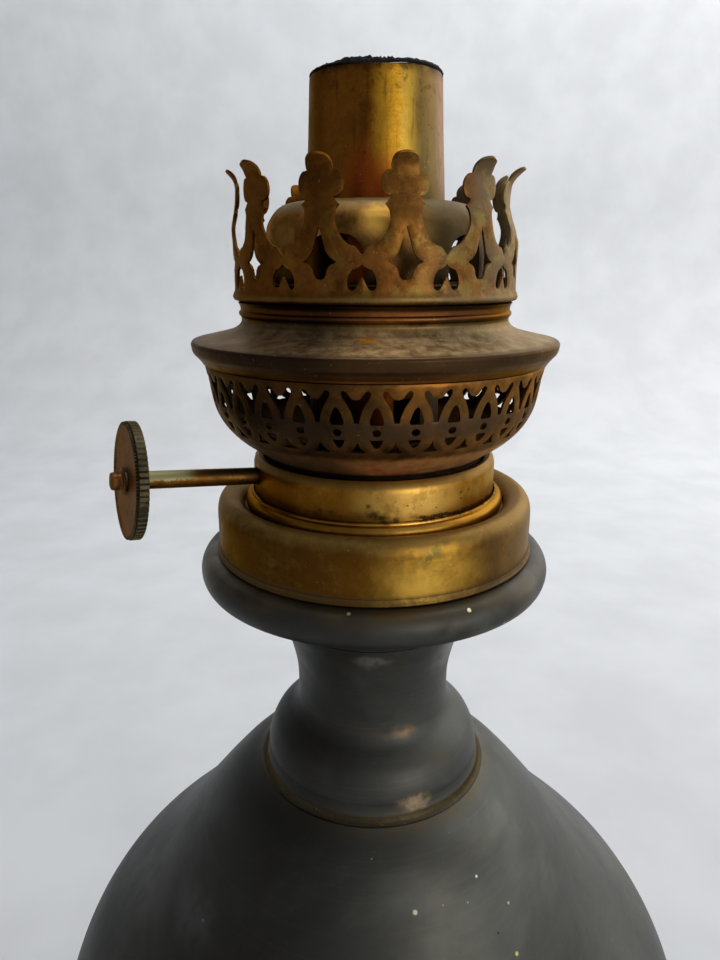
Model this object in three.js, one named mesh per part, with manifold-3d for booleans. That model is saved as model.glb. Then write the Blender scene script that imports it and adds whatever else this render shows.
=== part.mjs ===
// Pewter kerosene lamp with a round-wick brass burner. Millimetres, +Z up.
// The origin is the centre of the foot on the table, on the lamp's axis.
// Angles round the lamp are measured from the front (-Y) towards the right (+X).

import * as THREE from "three";
import { mergeVertices } from "three/addons/utils/BufferGeometryUtils.js";
import Module from "manifold-3d";

const wasm = await Module();
wasm.setup();

// Fits between pieces
const seatGap = 0.3; // between pieces that are soldered, crimped or resting on each other
const slideGap = 0.4; // between pieces that screw or slide past each other
const overrun = 2; // how far a cutting shape runs past what it cuts

// Facets round the axis
const bodySides = 32;
const hiddenSides = 24;
const basketSides = 31;
const tubeSides = 24;
const smallSides = 12;

// Pewter: foot, body, neck and rim
const footHeight = 10.7;
const footRadius = 54.5;
const footBore = 43;
const footTopMargin = 2.5; // foot's top past the bulb's flat
const footLipHeight = 2.6;
const bulbHeight = 61;
const bulbSeatRadius = 46;
const footTopRadius = bulbSeatRadius + footTopMargin;
const bodyRadius = 76.4;
const shoulderHeight = 69;
const shoulderTopRadius = 25.5;
const bodyWall = 1.6;
const seamLap = 3;
const neckHeight = 37.4;
const neckFootRadius = 24.7;
const neckBore = 15.5;
const shoulderLap = 4.7; // the shoulder's reach in under the neck
const solderRadius = 25.9;
const solderHeight = 0.9;
const rimRadius = 36.85;
const rimHeight = 15.2;
const rimBore = 16.3;
const rimWell = 29.5;

// Brass collar on the rim
const collarRadius = 32.8;
const collarHeight = 10.4;
const collarWall = 0.7;
const collarBaseRadius = 33.3;
const collarBaseHeight = 1.1;

// Screw fitting between collar and burner
const threadRadius = 23.9;
const threadWall = 1;
const threadRise = 2.9; // into the drum
const threadDepth = 9.8;
const threadLip = 1.4;
const seatRingWall = 1.9;
const seatFlange = 4;
const seatFlangeThick = 0.8;
const seatRingDepth = 7.2;
const fittingDrop = 2.6; // from the collar's crest down to the burner's seat
const floorThick = 0.8;
const dripHoleRadius = 6; // lets spilt oil run back

// Burner drum and the parts inside it
const sheet = 0.6; // burner sheet thickness
const drumRadius = 24.92;
const drumWall = 0.7;
const drumHeight = 10.4;
const drumCrest = 1.4;
const drumCrestRadius = 23.76;
const drumRingRadius = 26.85;
const drumRingHeight = 3.4;
const plateThick = 0.6;

// Pierced air basket
const basketRadius = 33.3;
const basketHeight = 19.9;
const basketNeckRadius = 22.3;
const basketLip = 1.7; // width of the lip that holds the burner plate
const basketUnits = 31;
const basketTurn = -6.2; // degrees

// Wick tubes, wick and draught
const wickTubeRadius = 13.1;
const wickTubeLength = 68.6;
const wickTubeTaper = 21.2; // the tube narrows over this length at its top
const wickTubeWall = 0.7;
const wickTubeNarrowing = 1.1; // off the radius at the top
const wickTubeTop = wickTubeRadius - wickTubeNarrowing;
const draughtDrop = 1.1; // the inner tube ends this far below the outer one
const wickThick = 1.8;
const wickOuterGap = 0.5; // to the narrow end of the outer tube
const wickInnerGap = 0.6; // to the inner tube
const wickInner = wickTubeTop - wickTubeWall - wickOuterGap - wickThick;
const draughtRadius = wickInner - wickInnerGap;
const wickStand = 1; // wick above its tube
const wickSkirt = 12.7; // bottom of the wick's curl above the burner plate
const wickTail = 187; // length of the wick's tail below its curl
const tailOverlap = 4;
const tailHalfAngle = 44; // degrees
const slitHalfAngle = 30; // degrees
const ductWidth = 7.4;
const ductHeight = 10;
const ductBottom = 3; // above the burner plate

// Wick raiser
const raiserTurn = -61.2; // degrees, the way the spindle points out of the lamp
const raiserRise = 5.9; // degrees, the spindle climbs outwards
const raiserDrop = 6.3; // spindle below the burner plate's top at the lamp's middle
const spindleRadius = 1.7;
const spindleInner = 7.2; // reach past the middle
const knobReach = 49.1;
const knobRadius = 10.9;
const knobThick = 2.2;
const knobTeeth = 64;
const knobToothDepth = 0.35;
const hubRadius = 1.8;
const hubBossRadius = 2.8;
const hubLength = 2.3;
const sprocketRadius = 3.9;
const sprocketGap = 0.7; // wheels to the wick's tail
const raiserOffset = wickInner - sprocketGap - sprocketRadius; // spindle line from the lamp's axis
const sprocketToothDepth = 1;
const sprocketTeeth = 10;
const sprocketThick = 0.8;
const sprocketSpacing = 3.2;
const pressGap = 0.15; // between the spindle and the wheels pressed on it
const bearingGap = 0.25;
const bushRadius = 2.4;
const bushLength = 4;
const bracketWidth = 4.4;
const bracketThick = 1;
const bracketPlace = 4.3; // bracket's near face past the middle
const bracketHeel = 3.1; // bracket below the spindle

// Gallery: flange, crown, chimney seat and air deflector
const flangeRadius = 35.9;
const flangeHeight = 11.1;
const flangeSkirt = 1.4;
const flangeSkirtRadius = 31.9;
const crownRadius = 27;
const crownHeight = 23.2;
const crownBeadRadius = 27.5;
const crownSheet = 0.6;
const crownUnits = 12;
const crownTurn = 9.4; // degrees
const seatDrop = 2; // chimney seat above the crown's lower edge
const seatLedge = 0.3; // the deflector's land above the chimney's
const seatThick = 0.8;
const seatMouth = 17;
const seatSkirt = 4.6;
const seatSkirtRadius = 24.7;
const seatSkirtWall = 0.8;
const deflectorRadius = 20.8;
const deflectorHeight = 14.6;
const windowUnits = 5;
const windowTurn = -20.5; // degrees
const windowWidth = 10.4;
const windowHeight = 7.8;
const windowSill = 1;

// Heights above the table
const bulbBottom = footHeight + seatGap;
const widest = bulbBottom + bulbHeight;
const shoulderTop = widest + shoulderHeight;
const neckBottom = shoulderTop + seatGap;
const rimBottom = neckBottom + neckHeight + seatGap;
const collarBaseBottom = rimBottom + rimHeight + seatGap;
const collarBottom = collarBaseBottom + collarBaseHeight + seatGap;
const collarTop = collarBottom + collarHeight;
const burnerSeat = collarTop - fittingDrop - seatGap;
const drumBottom = burnerSeat + 2 * seatGap;
const drumTop = drumBottom + drumHeight;
const basketBottom = drumTop - drumCrest;
const basketTop = basketBottom + basketHeight;
const plateTop = basketBottom + sheet + seatGap + plateThick;
const tubeBottom = plateTop + seatGap;
const flangeBottom = basketTop + seatGap;
const crownBottom = flangeBottom + flangeHeight + seatGap;
const chimneySeat = crownBottom + seatDrop;
const deflectorSeat = chimneySeat + seatLedge;
const deflectorBottom = deflectorSeat + seatGap;

// Materials
const pewter = { color: 0x4b4c4e, roughness: 0.42, metalness: 1 };
const collarBrass = { color: 0x8a6a35, roughness: 0.42, metalness: 1 };
const goldBrass = { color: 0xb98c3a, roughness: 0.34, metalness: 1 };
const brownBrass = { color: 0x5f4a2b, roughness: 0.5, metalness: 1 };
const hiddenBrass = { color: 0x8f7a45, roughness: 0.5, metalness: 1 };
const cotton = { color: 0x5a5040, roughness: 1, metalness: 0 };

const lamp = new THREE.Group();
const gallery = new THREE.Group();
gallery.position.z = flangeBottom;
lamp.add(gallery);

// Solids

// A line moved sideways by a distance, to the left of its way, with mitred corners.
function offsetLine(line, distance) {
  const points = line.map(([r, z]) => new THREE.Vector2(r, z));
  const sides = points.slice(1).map((point, i) => {
    const way = point.clone().sub(points[i]).normalize();
    return new THREE.Vector2(-way.y, way.x);
  });
  return points.map((point, i) => {
    const before = sides[Math.max(i - 1, 0)];
    const after = sides[Math.min(i, sides.length - 1)];
    const mitre = before.clone().add(after).multiplyScalar(distance / (1 + before.dot(after)));
    return point.clone().add(mitre).toArray();
  });
}

// A sheet's section: its outer line and the same line moved inwards by its thickness.
const sheetSection = (line, thick) => [...line, ...offsetLine(line, thick).reverse()];

// A geometry as a solid, with shared vertices merged and collapsed triangles left out.
function solid(geometry) {
  const bare = geometry.clone();
  bare.deleteAttribute("normal");
  bare.deleteAttribute("uv");
  const merged = mergeVertices(bare, 1e-4);
  const index = merged.index.array;
  const triVerts = [];
  for (let i = 0; i < index.length; i += 3) {
    const [a, b, c] = index.slice(i, i + 3);
    if (a !== b && b !== c && c !== a) triVerts.push(a, b, c);
  }
  const vertProperties = merged.attributes.position.array;
  const data = { numProp: 3, vertProperties, triVerts: new Uint32Array(triVerts) };
  return new wasm.Manifold(new wasm.Mesh(data));
}

// A solid as a geometry with flat faces.
function geometryOf(body) {
  const { vertProperties, triVerts } = body.getMesh();
  const geometry = new THREE.BufferGeometry();
  geometry.setAttribute("position", new THREE.BufferAttribute(vertProperties, 3));
  geometry.setIndex(new THREE.BufferAttribute(triVerts, 1));
  const faceted = geometry.toNonIndexed();
  faceted.computeVertexNormals();
  return faceted;
}

function add(name, body, finish, parent = lamp) {
  const mesh = new THREE.Mesh(geometryOf(body), new THREE.MeshStandardMaterial(finish));
  mesh.name = name;
  parent.add(mesh);
  return mesh;
}

const joined = (bodies) => bodies.reduce((whole, body) => whole.add(body));

// A profile of [radius, height] points turned round the Z axis. It closes on itself.
function turned(profile, sides) {
  const area = profile.reduce((sum, [r, z], i) => {
    const [nextR, nextZ] = profile[(i + 1) % profile.length];
    return sum + r * nextZ - nextR * z;
  }, 0);
  const order = area > 0 ? profile : [...profile].reverse();
  const points = [...order, order[0]].map(([r, z]) => new THREE.Vector2(r, z));
  const geometry = new THREE.LatheGeometry(points, sides);
  geometry.rotateX(Math.PI / 2);
  return solid(geometry);
}

const tube = (outer, inner, bottom, top, sides) =>
  turned([[inner, bottom], [outer, bottom], [outer, top], [inner, top]], sides);

// A smooth line through a few points, sampled in steps.
function smooth(points, steps) {
  const curve = new THREE.SplineCurve(points.map(([x, y]) => new THREE.Vector2(x, y)));
  return curve.getPoints(steps).map(({ x, y }) => [x, y]);
}

// A flat outline raised by a height, from z = 0.
function prism(outline, height) {
  const shape = new THREE.Shape(outline.map(([x, y]) => new THREE.Vector2(x, y)));
  return solid(new THREE.ExtrudeGeometry(shape, { depth: height, bevelEnabled: false }));
}

// A half outline and its mirror image as one closed outline. The half starts and ends on the mirror line.
function mirrored(half) {
  const other = half.slice(1, -1).reverse().map(([u, z]) => [-u, z]);
  return [...half, ...other];
}

// Moves a body so that its Z axis points out of the lamp at an angle, with X along the wall and Y up.
function facingOut(body, degrees, distance = 0) {
  const angle = THREE.MathUtils.degToRad(degrees);
  const along = new THREE.Vector3(Math.cos(angle), Math.sin(angle), 0);
  const out = new THREE.Vector3(Math.sin(angle), -Math.cos(angle), 0);
  const up = new THREE.Vector3(0, 0, 1);
  const place = new THREE.Matrix4().makeBasis(along, up, out);
  place.setPosition(out.clone().multiplyScalar(distance));
  return body.transform(place.elements);
}

// One opening, cut outwards through a round wall at each of several places.
function piercing(outline, radius, units, turn) {
  const reach = radius / 2;
  const cutter = prism(outline, reach + overrun);
  const step = 360 / units;
  return Array.from({ length: units }, (_, i) => facingOut(cutter, turn + i * step, radius - reach));
}

// A bar with the section of a ring sector, centred on an angle round the lamp.
function sectorBar(inner, outer, degrees, halfDegrees, bottom, height) {
  const middle = THREE.MathUtils.degToRad(degrees - 90);
  const half = THREE.MathUtils.degToRad(halfDegrees);
  const shape = new THREE.Shape();
  shape.absarc(0, 0, outer, middle - half, middle + half, false);
  shape.absarc(0, 0, inner, middle + half, middle - half, true);
  const curveSegments = Math.ceil((smallSides * halfDegrees) / 90);
  const settings = { depth: height, bevelEnabled: false, curveSegments };
  return solid(new THREE.ExtrudeGeometry(shape, settings).translate(0, 0, bottom));
}

// Foot and body

const bulbShares = [[1, 1], [0.97, 0.75], [0.85, 0.48], [0.62, 0.24], [0.32, 0.07], [0, 0]];
const shoulderShares = [
  [1, 0], [0.96, 0.19], [0.866, 0.32], [0.725, 0.437], [0.59, 0.538],
  [0.47, 0.64], [0.36, 0.742], [0.25, 0.843], [0.135, 0.942], [0, 1],
];

function bulbLine(wall) {
  const width = bodyRadius - bulbSeatRadius;
  return bulbShares.map(([r, h]) => [
    bulbSeatRadius + width * r - wall,
    bulbBottom + wall + (bulbHeight - wall) * h,
  ]);
}

function shoulderLine(wall) {
  const width = bodyRadius - shoulderTopRadius;
  return shoulderShares.map(([r, h]) => [
    shoulderTopRadius + width * r - wall,
    widest + (shoulderHeight - wall) * h,
  ]);
}

function makeFoot() {
  const neckIn = footTopRadius - bodyWall;
  const profile = [
    [footBore, 0],
    [footRadius, 0],
    [footRadius, footLipHeight],
    [(footRadius + footTopRadius) / 2, footLipHeight + bodyWall],
    [footTopRadius, footHeight - bodyWall],
    [footTopRadius, footHeight],
    [neckIn - bodyWall, footHeight],
    [neckIn - bodyWall, footLipHeight + bodyWall],
    [footBore, footLipHeight],
  ];
  add("foot_ring", turned(profile, bodySides), pewter);
}

function makeBody() {
  const steps = 6;
  const lapOuter = bodyRadius - bodyWall - 2 * seatGap;
  const lapInner = lapOuter - bodyWall;
  const inside = smooth(bulbLine(bodyWall), steps).slice(1);
  const lower = [
    ...smooth(bulbLine(0), steps).reverse(),
    [lapOuter, widest],
    [lapOuter, widest + seamLap],
    [lapInner, widest + seamLap],
    [lapInner, widest],
    ...inside,
    [0, bulbBottom + bodyWall],
    [0, bulbBottom],
  ];
  add("body_lower_shell", turned(lower, bodySides), pewter);

  const upperSteps = 9;
  const mouth = neckFootRadius - shoulderLap;
  const outer = smooth(shoulderLine(0), upperSteps);
  const inner = smooth(shoulderLine(bodyWall), upperSteps).reverse().slice(1);
  const upper = [
    [bodyRadius, widest + seatGap],
    ...outer.slice(1),
    [mouth, shoulderTop],
    [mouth, shoulderTop - bodyWall],
    ...inner.slice(0, -1),
    [bodyRadius - bodyWall, widest + seatGap],
  ];
  add("body_upper_shell", turned(upper, bodySides), pewter);
}

// Neck and rim

const neckShares = [
  [1, 0], [0.995, 0.08], [0.976, 0.125], [0.915, 0.235], [0.769, 0.393],
  [0.692, 0.54], [0.7, 0.647], [0.75, 0.82], [0.87, 1],
];
const neckHollowShare = 0.24;
const rimShares = [
  [0.592, 0], [0.695, 0.23], [0.814, 0.395], [0.923, 0.5], [0.982, 0.605],
  [1, 0.724], [0.996, 0.836], [0.961, 0.96], [0.906, 1],
];
const rimWellShares = { floor: 0.55, throat: 0.12 };

function makeNeck() {
  const outer = neckShares.map(([r, h]) => [neckFootRadius * r, neckBottom + neckHeight * h]);
  const skirtInner = neckFootRadius - bodyWall;
  const hollow = neckHeight * neckHollowShare;
  const inner = [
    [neckBore, neckBottom + neckHeight],
    [neckBore, neckBottom + hollow + bodyWall],
    [skirtInner - bodyWall, neckBottom + hollow / 2],
    [skirtInner, neckBottom],
  ];
  add("neck", turned([...outer, ...inner], bodySides), pewter);
  const solder = [
    [neckFootRadius + seatGap, shoulderTop + seatGap],
    [solderRadius, shoulderTop + seatGap],
    [solderRadius - solderHeight / 2, shoulderTop + seatGap + solderHeight],
    [neckFootRadius + seatGap, shoulderTop + seatGap + solderHeight],
  ];
  add("neck_solder_ring", turned(solder, bodySides), collarBrass);
}

function makeRim() {
  const profile = [
    ...rimShares.map(([r, h]) => [rimRadius * r, rimBottom + rimHeight * h]),
    [rimWell, rimBottom + rimHeight],
    [rimWell, rimBottom + rimHeight * rimWellShares.floor],
    [rimBore, rimBottom + rimHeight * rimWellShares.throat],
    [rimBore, rimBottom],
  ];
  add("rim_cup", turned(profile, bodySides), pewter);
}

// Collar and the screw fitting

const collarShares = [[1, 0], [1, 0.635], [0.988, 0.856], [0.94, 1], [0.884, 0.966], [0.832, 0.8]];

function makeCollar() {
  const line = collarShares.map(([r, h]) => [collarRadius * r, collarBottom + collarHeight * h]);
  add("collar_shell", turned(sheetSection(line, collarWall), bodySides), collarBrass);
  const baseTop = collarBaseBottom + collarBaseHeight;
  const base = tube(collarBaseRadius, rimWell, collarBaseBottom, baseTop, bodySides);
  add("collar_base_ring", base, collarBrass);
}

function makeScrewFitting() {
  const bore = threadRadius + slideGap;
  const bottom = burnerSeat - seatRingDepth;
  const female = [
    [bore, burnerSeat],
    [bore, bottom],
    [bore + seatRingWall, bottom],
    [bore + seatRingWall, burnerSeat - seatFlangeThick],
    [bore + seatFlange, burnerSeat - seatFlangeThick],
    [bore + seatFlange, burnerSeat],
  ];
  add("collar_thread_ring", turned(female, hiddenSides), collarBrass);
  const top = drumBottom + threadRise;
  const lipTop = top - threadDepth + sheet;
  const male = [
    [threadRadius - threadWall, top],
    [threadRadius, top],
    [threadRadius, top - threadDepth],
    [threadRadius - threadWall - threadLip, top - threadDepth],
    [threadRadius - threadWall - threadLip, lipTop],
    [threadRadius - threadWall, lipTop],
  ];
  add("burner_thread_ring", turned(male, hiddenSides), goldBrass);
  const floorBottom = lipTop + seatGap;
  const floorRadius = threadRadius - threadWall - seatGap;
  const floor = tube(floorRadius, dripHoleRadius, floorBottom, floorBottom + floorThick, hiddenSides);
  add("burner_floor_plate", floor.subtract(tailSlot(floorBottom, floorThick)), hiddenBrass);
}

// Drum

function makeDrum() {
  const line = [
    [drumRadius, drumBottom],
    [drumRadius, drumTop - drumCrest],
    [drumRadius - drumCrest / 3, drumTop - drumCrest / 4],
    [drumCrestRadius, drumTop],
    [basketNeckRadius + seatGap, drumTop - drumCrest / 2],
  ];
  const wall = turned(sheetSection(line, drumWall), bodySides);
  const bore = placedRod(spindleRadius + bearingGap, drumRadius / 2, drumRadius + overrun);
  add("burner_drum", wall.subtract(bore), goldBrass);
  const ringInner = drumRadius + seatGap;
  const bottom = burnerSeat + seatGap;
  const ring = [
    [ringInner, bottom],
    [drumRingRadius - seatGap, bottom],
    [drumRingRadius, bottom + drumRingHeight / 3],
    [drumRingRadius, bottom + (drumRingHeight * 2) / 3],
    [drumRingRadius - drumWall, bottom + drumRingHeight],
    [ringInner, bottom + drumRingHeight],
  ];
  add("drum_base_ring", turned(ring, bodySides), goldBrass);
}

// Basket

const basketShares = [
  [0.67, 0], [0.67, 0.08], [0.748, 0.161], [0.826, 0.256], [0.895, 0.387],
  [0.958, 0.583], [0.982, 0.794], [1, 1],
];
const vOpeningShares = [[0, 0.89], [0.29, 0.942], [0.56, 0.936], [0.52, 0.864], [0, 0.658]];

function basketOpening(shares) {
  const halfPitch = (Math.PI * basketRadius) / basketUnits;
  return mirrored(shares.map(([u, h]) => [halfPitch * u, basketBottom + basketHeight * h]));
}

function makeBasket() {
  const line = basketShares.map(([r, h]) => [basketRadius * r, basketBottom + basketHeight * h]);
  const lipInner = basketNeckRadius - sheet - basketLip;
  const profile = [
    ...line,
    ...offsetLine(line, sheet).reverse().slice(0, -1),
    [basketNeckRadius - sheet, basketBottom + sheet],
    [lipInner, basketBottom + sheet],
    [lipInner, basketBottom],
  ];
  const cuts = piercing(basketOpening(vOpeningShares), basketRadius, basketUnits, basketTurn);
  const wall = turned(profile, basketSides);
  add("air_basket", wall.subtract(joined(cuts)), brownBrass);
}

// Wick tubes, draught and wick

// The tail hangs at the side of the raiser, and the slit faces it across the lamp.
const tailTurn = raiserTurn - 90;
const slitTurn = tailTurn + 180;

function tailSlot(bottom, thick) {
  const wide = tailHalfAngle + THREE.MathUtils.radToDeg(slideGap / wickInner);
  const inner = wickInner - slideGap;
  const outer = wickInner + wickThick + slideGap;
  return sectorBar(inner, outer, tailTurn, wide, bottom - overrun, thick + 2 * overrun);
}

function ductOpening(radius) {
  const width = ductWidth - 2 * sheet;
  const low = plateTop + ductBottom + sheet;
  const high = low + ductHeight - 2 * sheet;
  const outline = [[-width / 2, low], [width / 2, low], [width / 2, high], [-width / 2, high]];
  return facingOut(prism(outline, 2 * overrun), slitTurn, radius - overrun - sheet);
}

function makeWickTubes() {
  const plateBottom = plateTop - plateThick;
  const plateRadius = basketNeckRadius - sheet - seatGap;
  const plate = tube(plateRadius, 0, plateBottom, plateTop, hiddenSides);
  add("burner_plate", plate.subtract(tailSlot(plateBottom, plateThick)), hiddenBrass);
  const top = tubeBottom + wickTubeLength;
  const outer = [
    [wickTubeRadius, tubeBottom],
    [wickTubeRadius, top - wickTubeTaper],
    [wickTubeTop, top],
    [wickTubeTop - wickTubeWall, top],
    [wickTubeRadius - wickTubeWall, top - wickTubeTaper],
    [wickTubeRadius - wickTubeWall, tubeBottom],
  ];
  const outerTube = turned(outer, tubeSides).subtract(ductOpening(wickTubeRadius));
  add("outer_wick_tube", outerTube, goldBrass);
  const innerTube = tube(draughtRadius, draughtRadius - sheet, tubeBottom, top - draughtDrop, tubeSides);
  add("inner_draught_tube", innerTube.subtract(ductOpening(draughtRadius)), hiddenBrass);
  const inside = draughtRadius + seatGap;
  const length = wickTubeRadius - wickTubeWall - seatGap - inside;
  const low = plateTop + ductBottom;
  const frame = (margin) => {
    const half = ductWidth / 2 - margin;
    const bottom = low + margin;
    const high = low + ductHeight - margin;
    return [[-half, bottom], [half, bottom], [half, high], [-half, high]];
  };
  const duct = prism(frame(0), length - sheet);
  const hollow = prism(frame(sheet), length + 2 * overrun).translate([0, 0, -overrun]);
  add("side_air_duct", facingOut(duct.subtract(hollow), slitTurn, inside), hiddenBrass);
}

function makeWick() {
  const outer = wickInner + wickThick;
  const curlBottom = plateTop + wickSkirt;
  const curlTop = tubeBottom + wickTubeLength + wickStand;
  const span = 180 - slitHalfAngle;
  const curl = sectorBar(wickInner, outer, tailTurn, span, curlBottom, curlTop - curlBottom);
  const tailLength = wickTail + tailOverlap;
  const tail = sectorBar(wickInner, outer, tailTurn, tailHalfAngle, curlBottom - wickTail, tailLength);
  add("wick", curl.add(tail), cotton);
}

// Wick raiser

// The raiser's frame: Z runs out along the spindle, X lies across it and Y is up. The origin is the
// point of the spindle nearest the lamp's axis.
function raiserMatrix() {
  const angle = THREE.MathUtils.degToRad(raiserTurn);
  const rise = THREE.MathUtils.degToRad(raiserRise);
  const flat = new THREE.Vector3(Math.sin(angle), -Math.cos(angle), 0);
  const side = new THREE.Vector3(Math.cos(angle), Math.sin(angle), 0);
  const up = new THREE.Vector3(0, 0, 1);
  const out = flat.clone().multiplyScalar(Math.cos(rise)).addScaledVector(up, Math.sin(rise));
  const matrix = new THREE.Matrix4().makeBasis(side, out.clone().cross(side), out);
  const height = plateTop - raiserDrop;
  matrix.setPosition(side.clone().multiplyScalar(-raiserOffset).addScaledVector(up, height));
  return matrix;
}

function placedRod(radius, from, to) {
  return tube(radius, 0, from, to, smallSides).transform(raiserMatrix().elements);
}

function toothed(radius, depth, teeth, thick) {
  const outline = Array.from({ length: teeth * 2 }, (_, i) => {
    const reach = i % 2 ? radius - depth : radius;
    const angle = (i * Math.PI) / teeth;
    return [reach * Math.cos(angle), reach * Math.sin(angle)];
  });
  return prism(outline, thick);
}

function makeRaiser() {
  const raiser = new THREE.Group();
  raiser.applyMatrix4(raiserMatrix());
  lamp.add(raiser);
  const knobFace = knobReach + knobThick / 2;
  const knobBack = knobReach - knobThick / 2;
  const spindle = tube(spindleRadius, 0, -spindleInner, knobFace, smallSides);
  add("spindle", spindle, goldBrass, raiser);
  const fit = spindleRadius + pressGap;
  const discBore = tube(fit, 0, -overrun, knobThick + overrun, smallSides);
  const disc = toothed(knobRadius, knobToothDepth, knobTeeth, knobThick).subtract(discBore);
  add("knob_disc", disc, brownBrass, raiser).position.z = knobBack;
  const boss = [
    [0, 0],
    [hubBossRadius, 0],
    [hubRadius, hubLength / 3],
    [hubRadius, hubLength - hubRadius / 3],
    [hubRadius / 2, hubLength],
    [0, hubLength],
  ];
  add("knob_hub", turned(boss, smallSides), brownBrass, raiser).position.z = knobFace + pressGap;
  const wheelBore = tube(fit, 0, -overrun, sprocketThick + overrun, smallSides);
  const places = { sprocket_outer: sprocketSpacing / 2, sprocket_inner: -sprocketSpacing / 2 };
  for (const [name, place] of Object.entries(places)) {
    const wheel = toothed(sprocketRadius, sprocketToothDepth, sprocketTeeth, sprocketThick);
    const mesh = add(name, wheel.subtract(wheelBore), hiddenBrass, raiser);
    mesh.position.z = place - sprocketThick / 2;
  }
}

function makeBearings() {
  const clearance = spindleRadius + bearingGap;
  const drumInner = drumRadius - drumWall - seatGap;
  const reach = Math.sqrt(drumInner ** 2 - (raiserOffset + bushRadius) ** 2);
  const bush = tube(bushRadius, clearance, reach - bushLength, reach, smallSides);
  add("spindle_bush", bush.transform(raiserMatrix().elements), hiddenBrass);
  const rise = THREE.MathUtils.degToRad(raiserRise);
  const plateDrop = raiserDrop - plateThick - seatGap;
  const high = (plateDrop + bracketPlace * Math.sin(rise)) / Math.cos(rise);
  const half = bracketWidth / 2;
  const outline = [[-half, -bracketHeel], [half, -bracketHeel], [half, high], [-half, high]];
  const back = -bracketPlace - bracketThick;
  const bore = tube(clearance, 0, back - overrun, overrun - bracketPlace, smallSides);
  const bracket = prism(outline, bracketThick).translate([0, 0, back]).subtract(bore);
  add("raiser_bracket", bracket.transform(raiserMatrix().elements), hiddenBrass);
}

// Gallery, in its own group whose origin is the flange's lower edge

const flangeShares = [
  [0.945, 0], [0.992, 0.19], [1, 0.37], [0.985, 0.43], [0.88, 0.49], [0.76, 0.56], [0.724, 0.69], [0.742, 1],
];

function makeFlange() {
  const outer = flangeShares.map(([r, h]) => [flangeRadius * r, flangeHeight * h]);
  const [[edge], ...inner] = offsetLine(outer, sheet);
  const profile = [
    ...outer,
    ...inner.reverse(),
    [edge, sheet],
    [flangeSkirtRadius - sheet, sheet],
    [flangeSkirtRadius - sheet, -flangeSkirt],
    [flangeSkirtRadius, -flangeSkirt],
    [flangeSkirtRadius, 0],
  ];
  add("gallery_flange", turned(profile, bodySides), brownBrass, gallery);
}

const crownShares = [[1.003, 0], [1.019, 0.05], [1, 0.1], [1, 0.56], [0.945, 0.82], [0.93, 0.9], [1.007, 1]];
const prongEdgeShares = [
  [0, 1], [0.2, 0.985], [0.3, 0.92], [0.3, 0.872], [0.44, 0.85], [0.5, 0.79], [0.355, 0.735],
  [0.44, 0.67], [0.38, 0.58], [0.56, 0.495], [1, 0.418],
];
const starShares = [[0, 0.511], [0.15, 0.375], [0.34, 0.315], [0.17, 0.28], [0.12, 0.21], [0, 0.198]];
const heartShares = [[0, 0.289], [0.17, 0.259], [0.34, 0.18], [0.2, 0.125], [0, 0.194]];

function makeCrown() {
  const bottom = crownBottom - flangeBottom;
  const line = crownShares.map(([r, h]) => [crownRadius * r, bottom + crownHeight * h]);
  const halfStep = Math.PI / crownUnits;
  const halfPitch = halfStep * crownRadius;
  const above = bottom + crownHeight + overrun;
  const reach = crownBeadRadius * Math.sin(halfStep);
  const edge = prongEdgeShares.map(([u, h]) => [
    crownRadius * Math.sin(halfStep * (1 - u)),
    bottom + crownHeight * h,
  ]);
  const gap = mirrored([[0, above], [reach, above], [reach, edge[0][1]], ...edge]);
  const opening = (shares) =>
    mirrored(shares.map(([u, h]) => [halfPitch * u, bottom + crownHeight * h]));
  const between = crownTurn + 180 / crownUnits;
  const cuts = [
    ...piercing(gap, crownRadius, crownUnits, between),
    ...piercing(opening(starShares), crownRadius, crownUnits, crownTurn),
    ...piercing(opening(heartShares), crownRadius, crownUnits, between),
  ];
  const wall = turned(sheetSection(line, crownSheet), bodySides);
  add("crown", wall.subtract(joined(cuts)), brownBrass, gallery);
}

const domeFootShare = 1.055;

function makeChimneySeat() {
  const top = deflectorSeat - flangeBottom;
  const under = top - seatThick;
  const ledge = deflectorRadius * domeFootShare + seatGap;
  const outer = crownRadius - crownSheet - seatGap;
  const profile = [
    [seatMouth, under],
    [seatSkirtRadius - seatSkirtWall, under],
    [seatSkirtRadius - seatSkirtWall, under - seatSkirt],
    [seatSkirtRadius, under - seatSkirt],
    [seatSkirtRadius, under],
    [outer, under],
    [outer, top - seatLedge],
    [ledge, top - seatLedge],
    [ledge, top],
    [seatMouth, top],
  ];
  add("chimney_seat_ring", turned(profile, hiddenSides), brownBrass, gallery);
}

const domeShares = [
  [domeFootShare, 0], [domeFootShare, 0.04], [1, 0.05], [1, 0.62],
  [0.957, 0.822], [0.9, 0.93], [0.81, 1], [0.65, 1],
];
const windowShares = [[0, 0], [1, 0], [1, 0.6], [0.8, 0.82], [0.4, 0.97], [0, 1]];

function makeDeflector() {
  const bottom = deflectorBottom - flangeBottom;
  const mouth = wickTubeRadius + slideGap;
  const outer = domeShares.map(([r, h]) => [deflectorRadius * r, bottom + deflectorHeight * h]);
  outer[outer.length - 1][0] = mouth;
  const inner = offsetLine(outer.slice(2), sheet).reverse();
  const profile = [...outer, ...inner, [deflectorRadius - sheet, bottom]];
  const sill = bottom + windowSill;
  const arch = windowShares.map(([u, h]) => [(windowWidth / 2) * u, sill + windowHeight * h]);
  const windows = piercing(mirrored(arch), deflectorRadius, windowUnits, windowTurn);
  const dome = turned(profile, basketSides);
  add("air_deflector", dome.subtract(joined(windows)), goldBrass, gallery);
}

makeFoot();
makeBody();
makeNeck();
makeRim();
makeCollar();
makeScrewFitting();
makeDrum();
makeBasket();
makeWickTubes();
makeWick();
makeRaiser();
makeBearings();
makeFlange();
makeCrown();
makeChimneySeat();
makeDeflector();

export default lamp;
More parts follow.
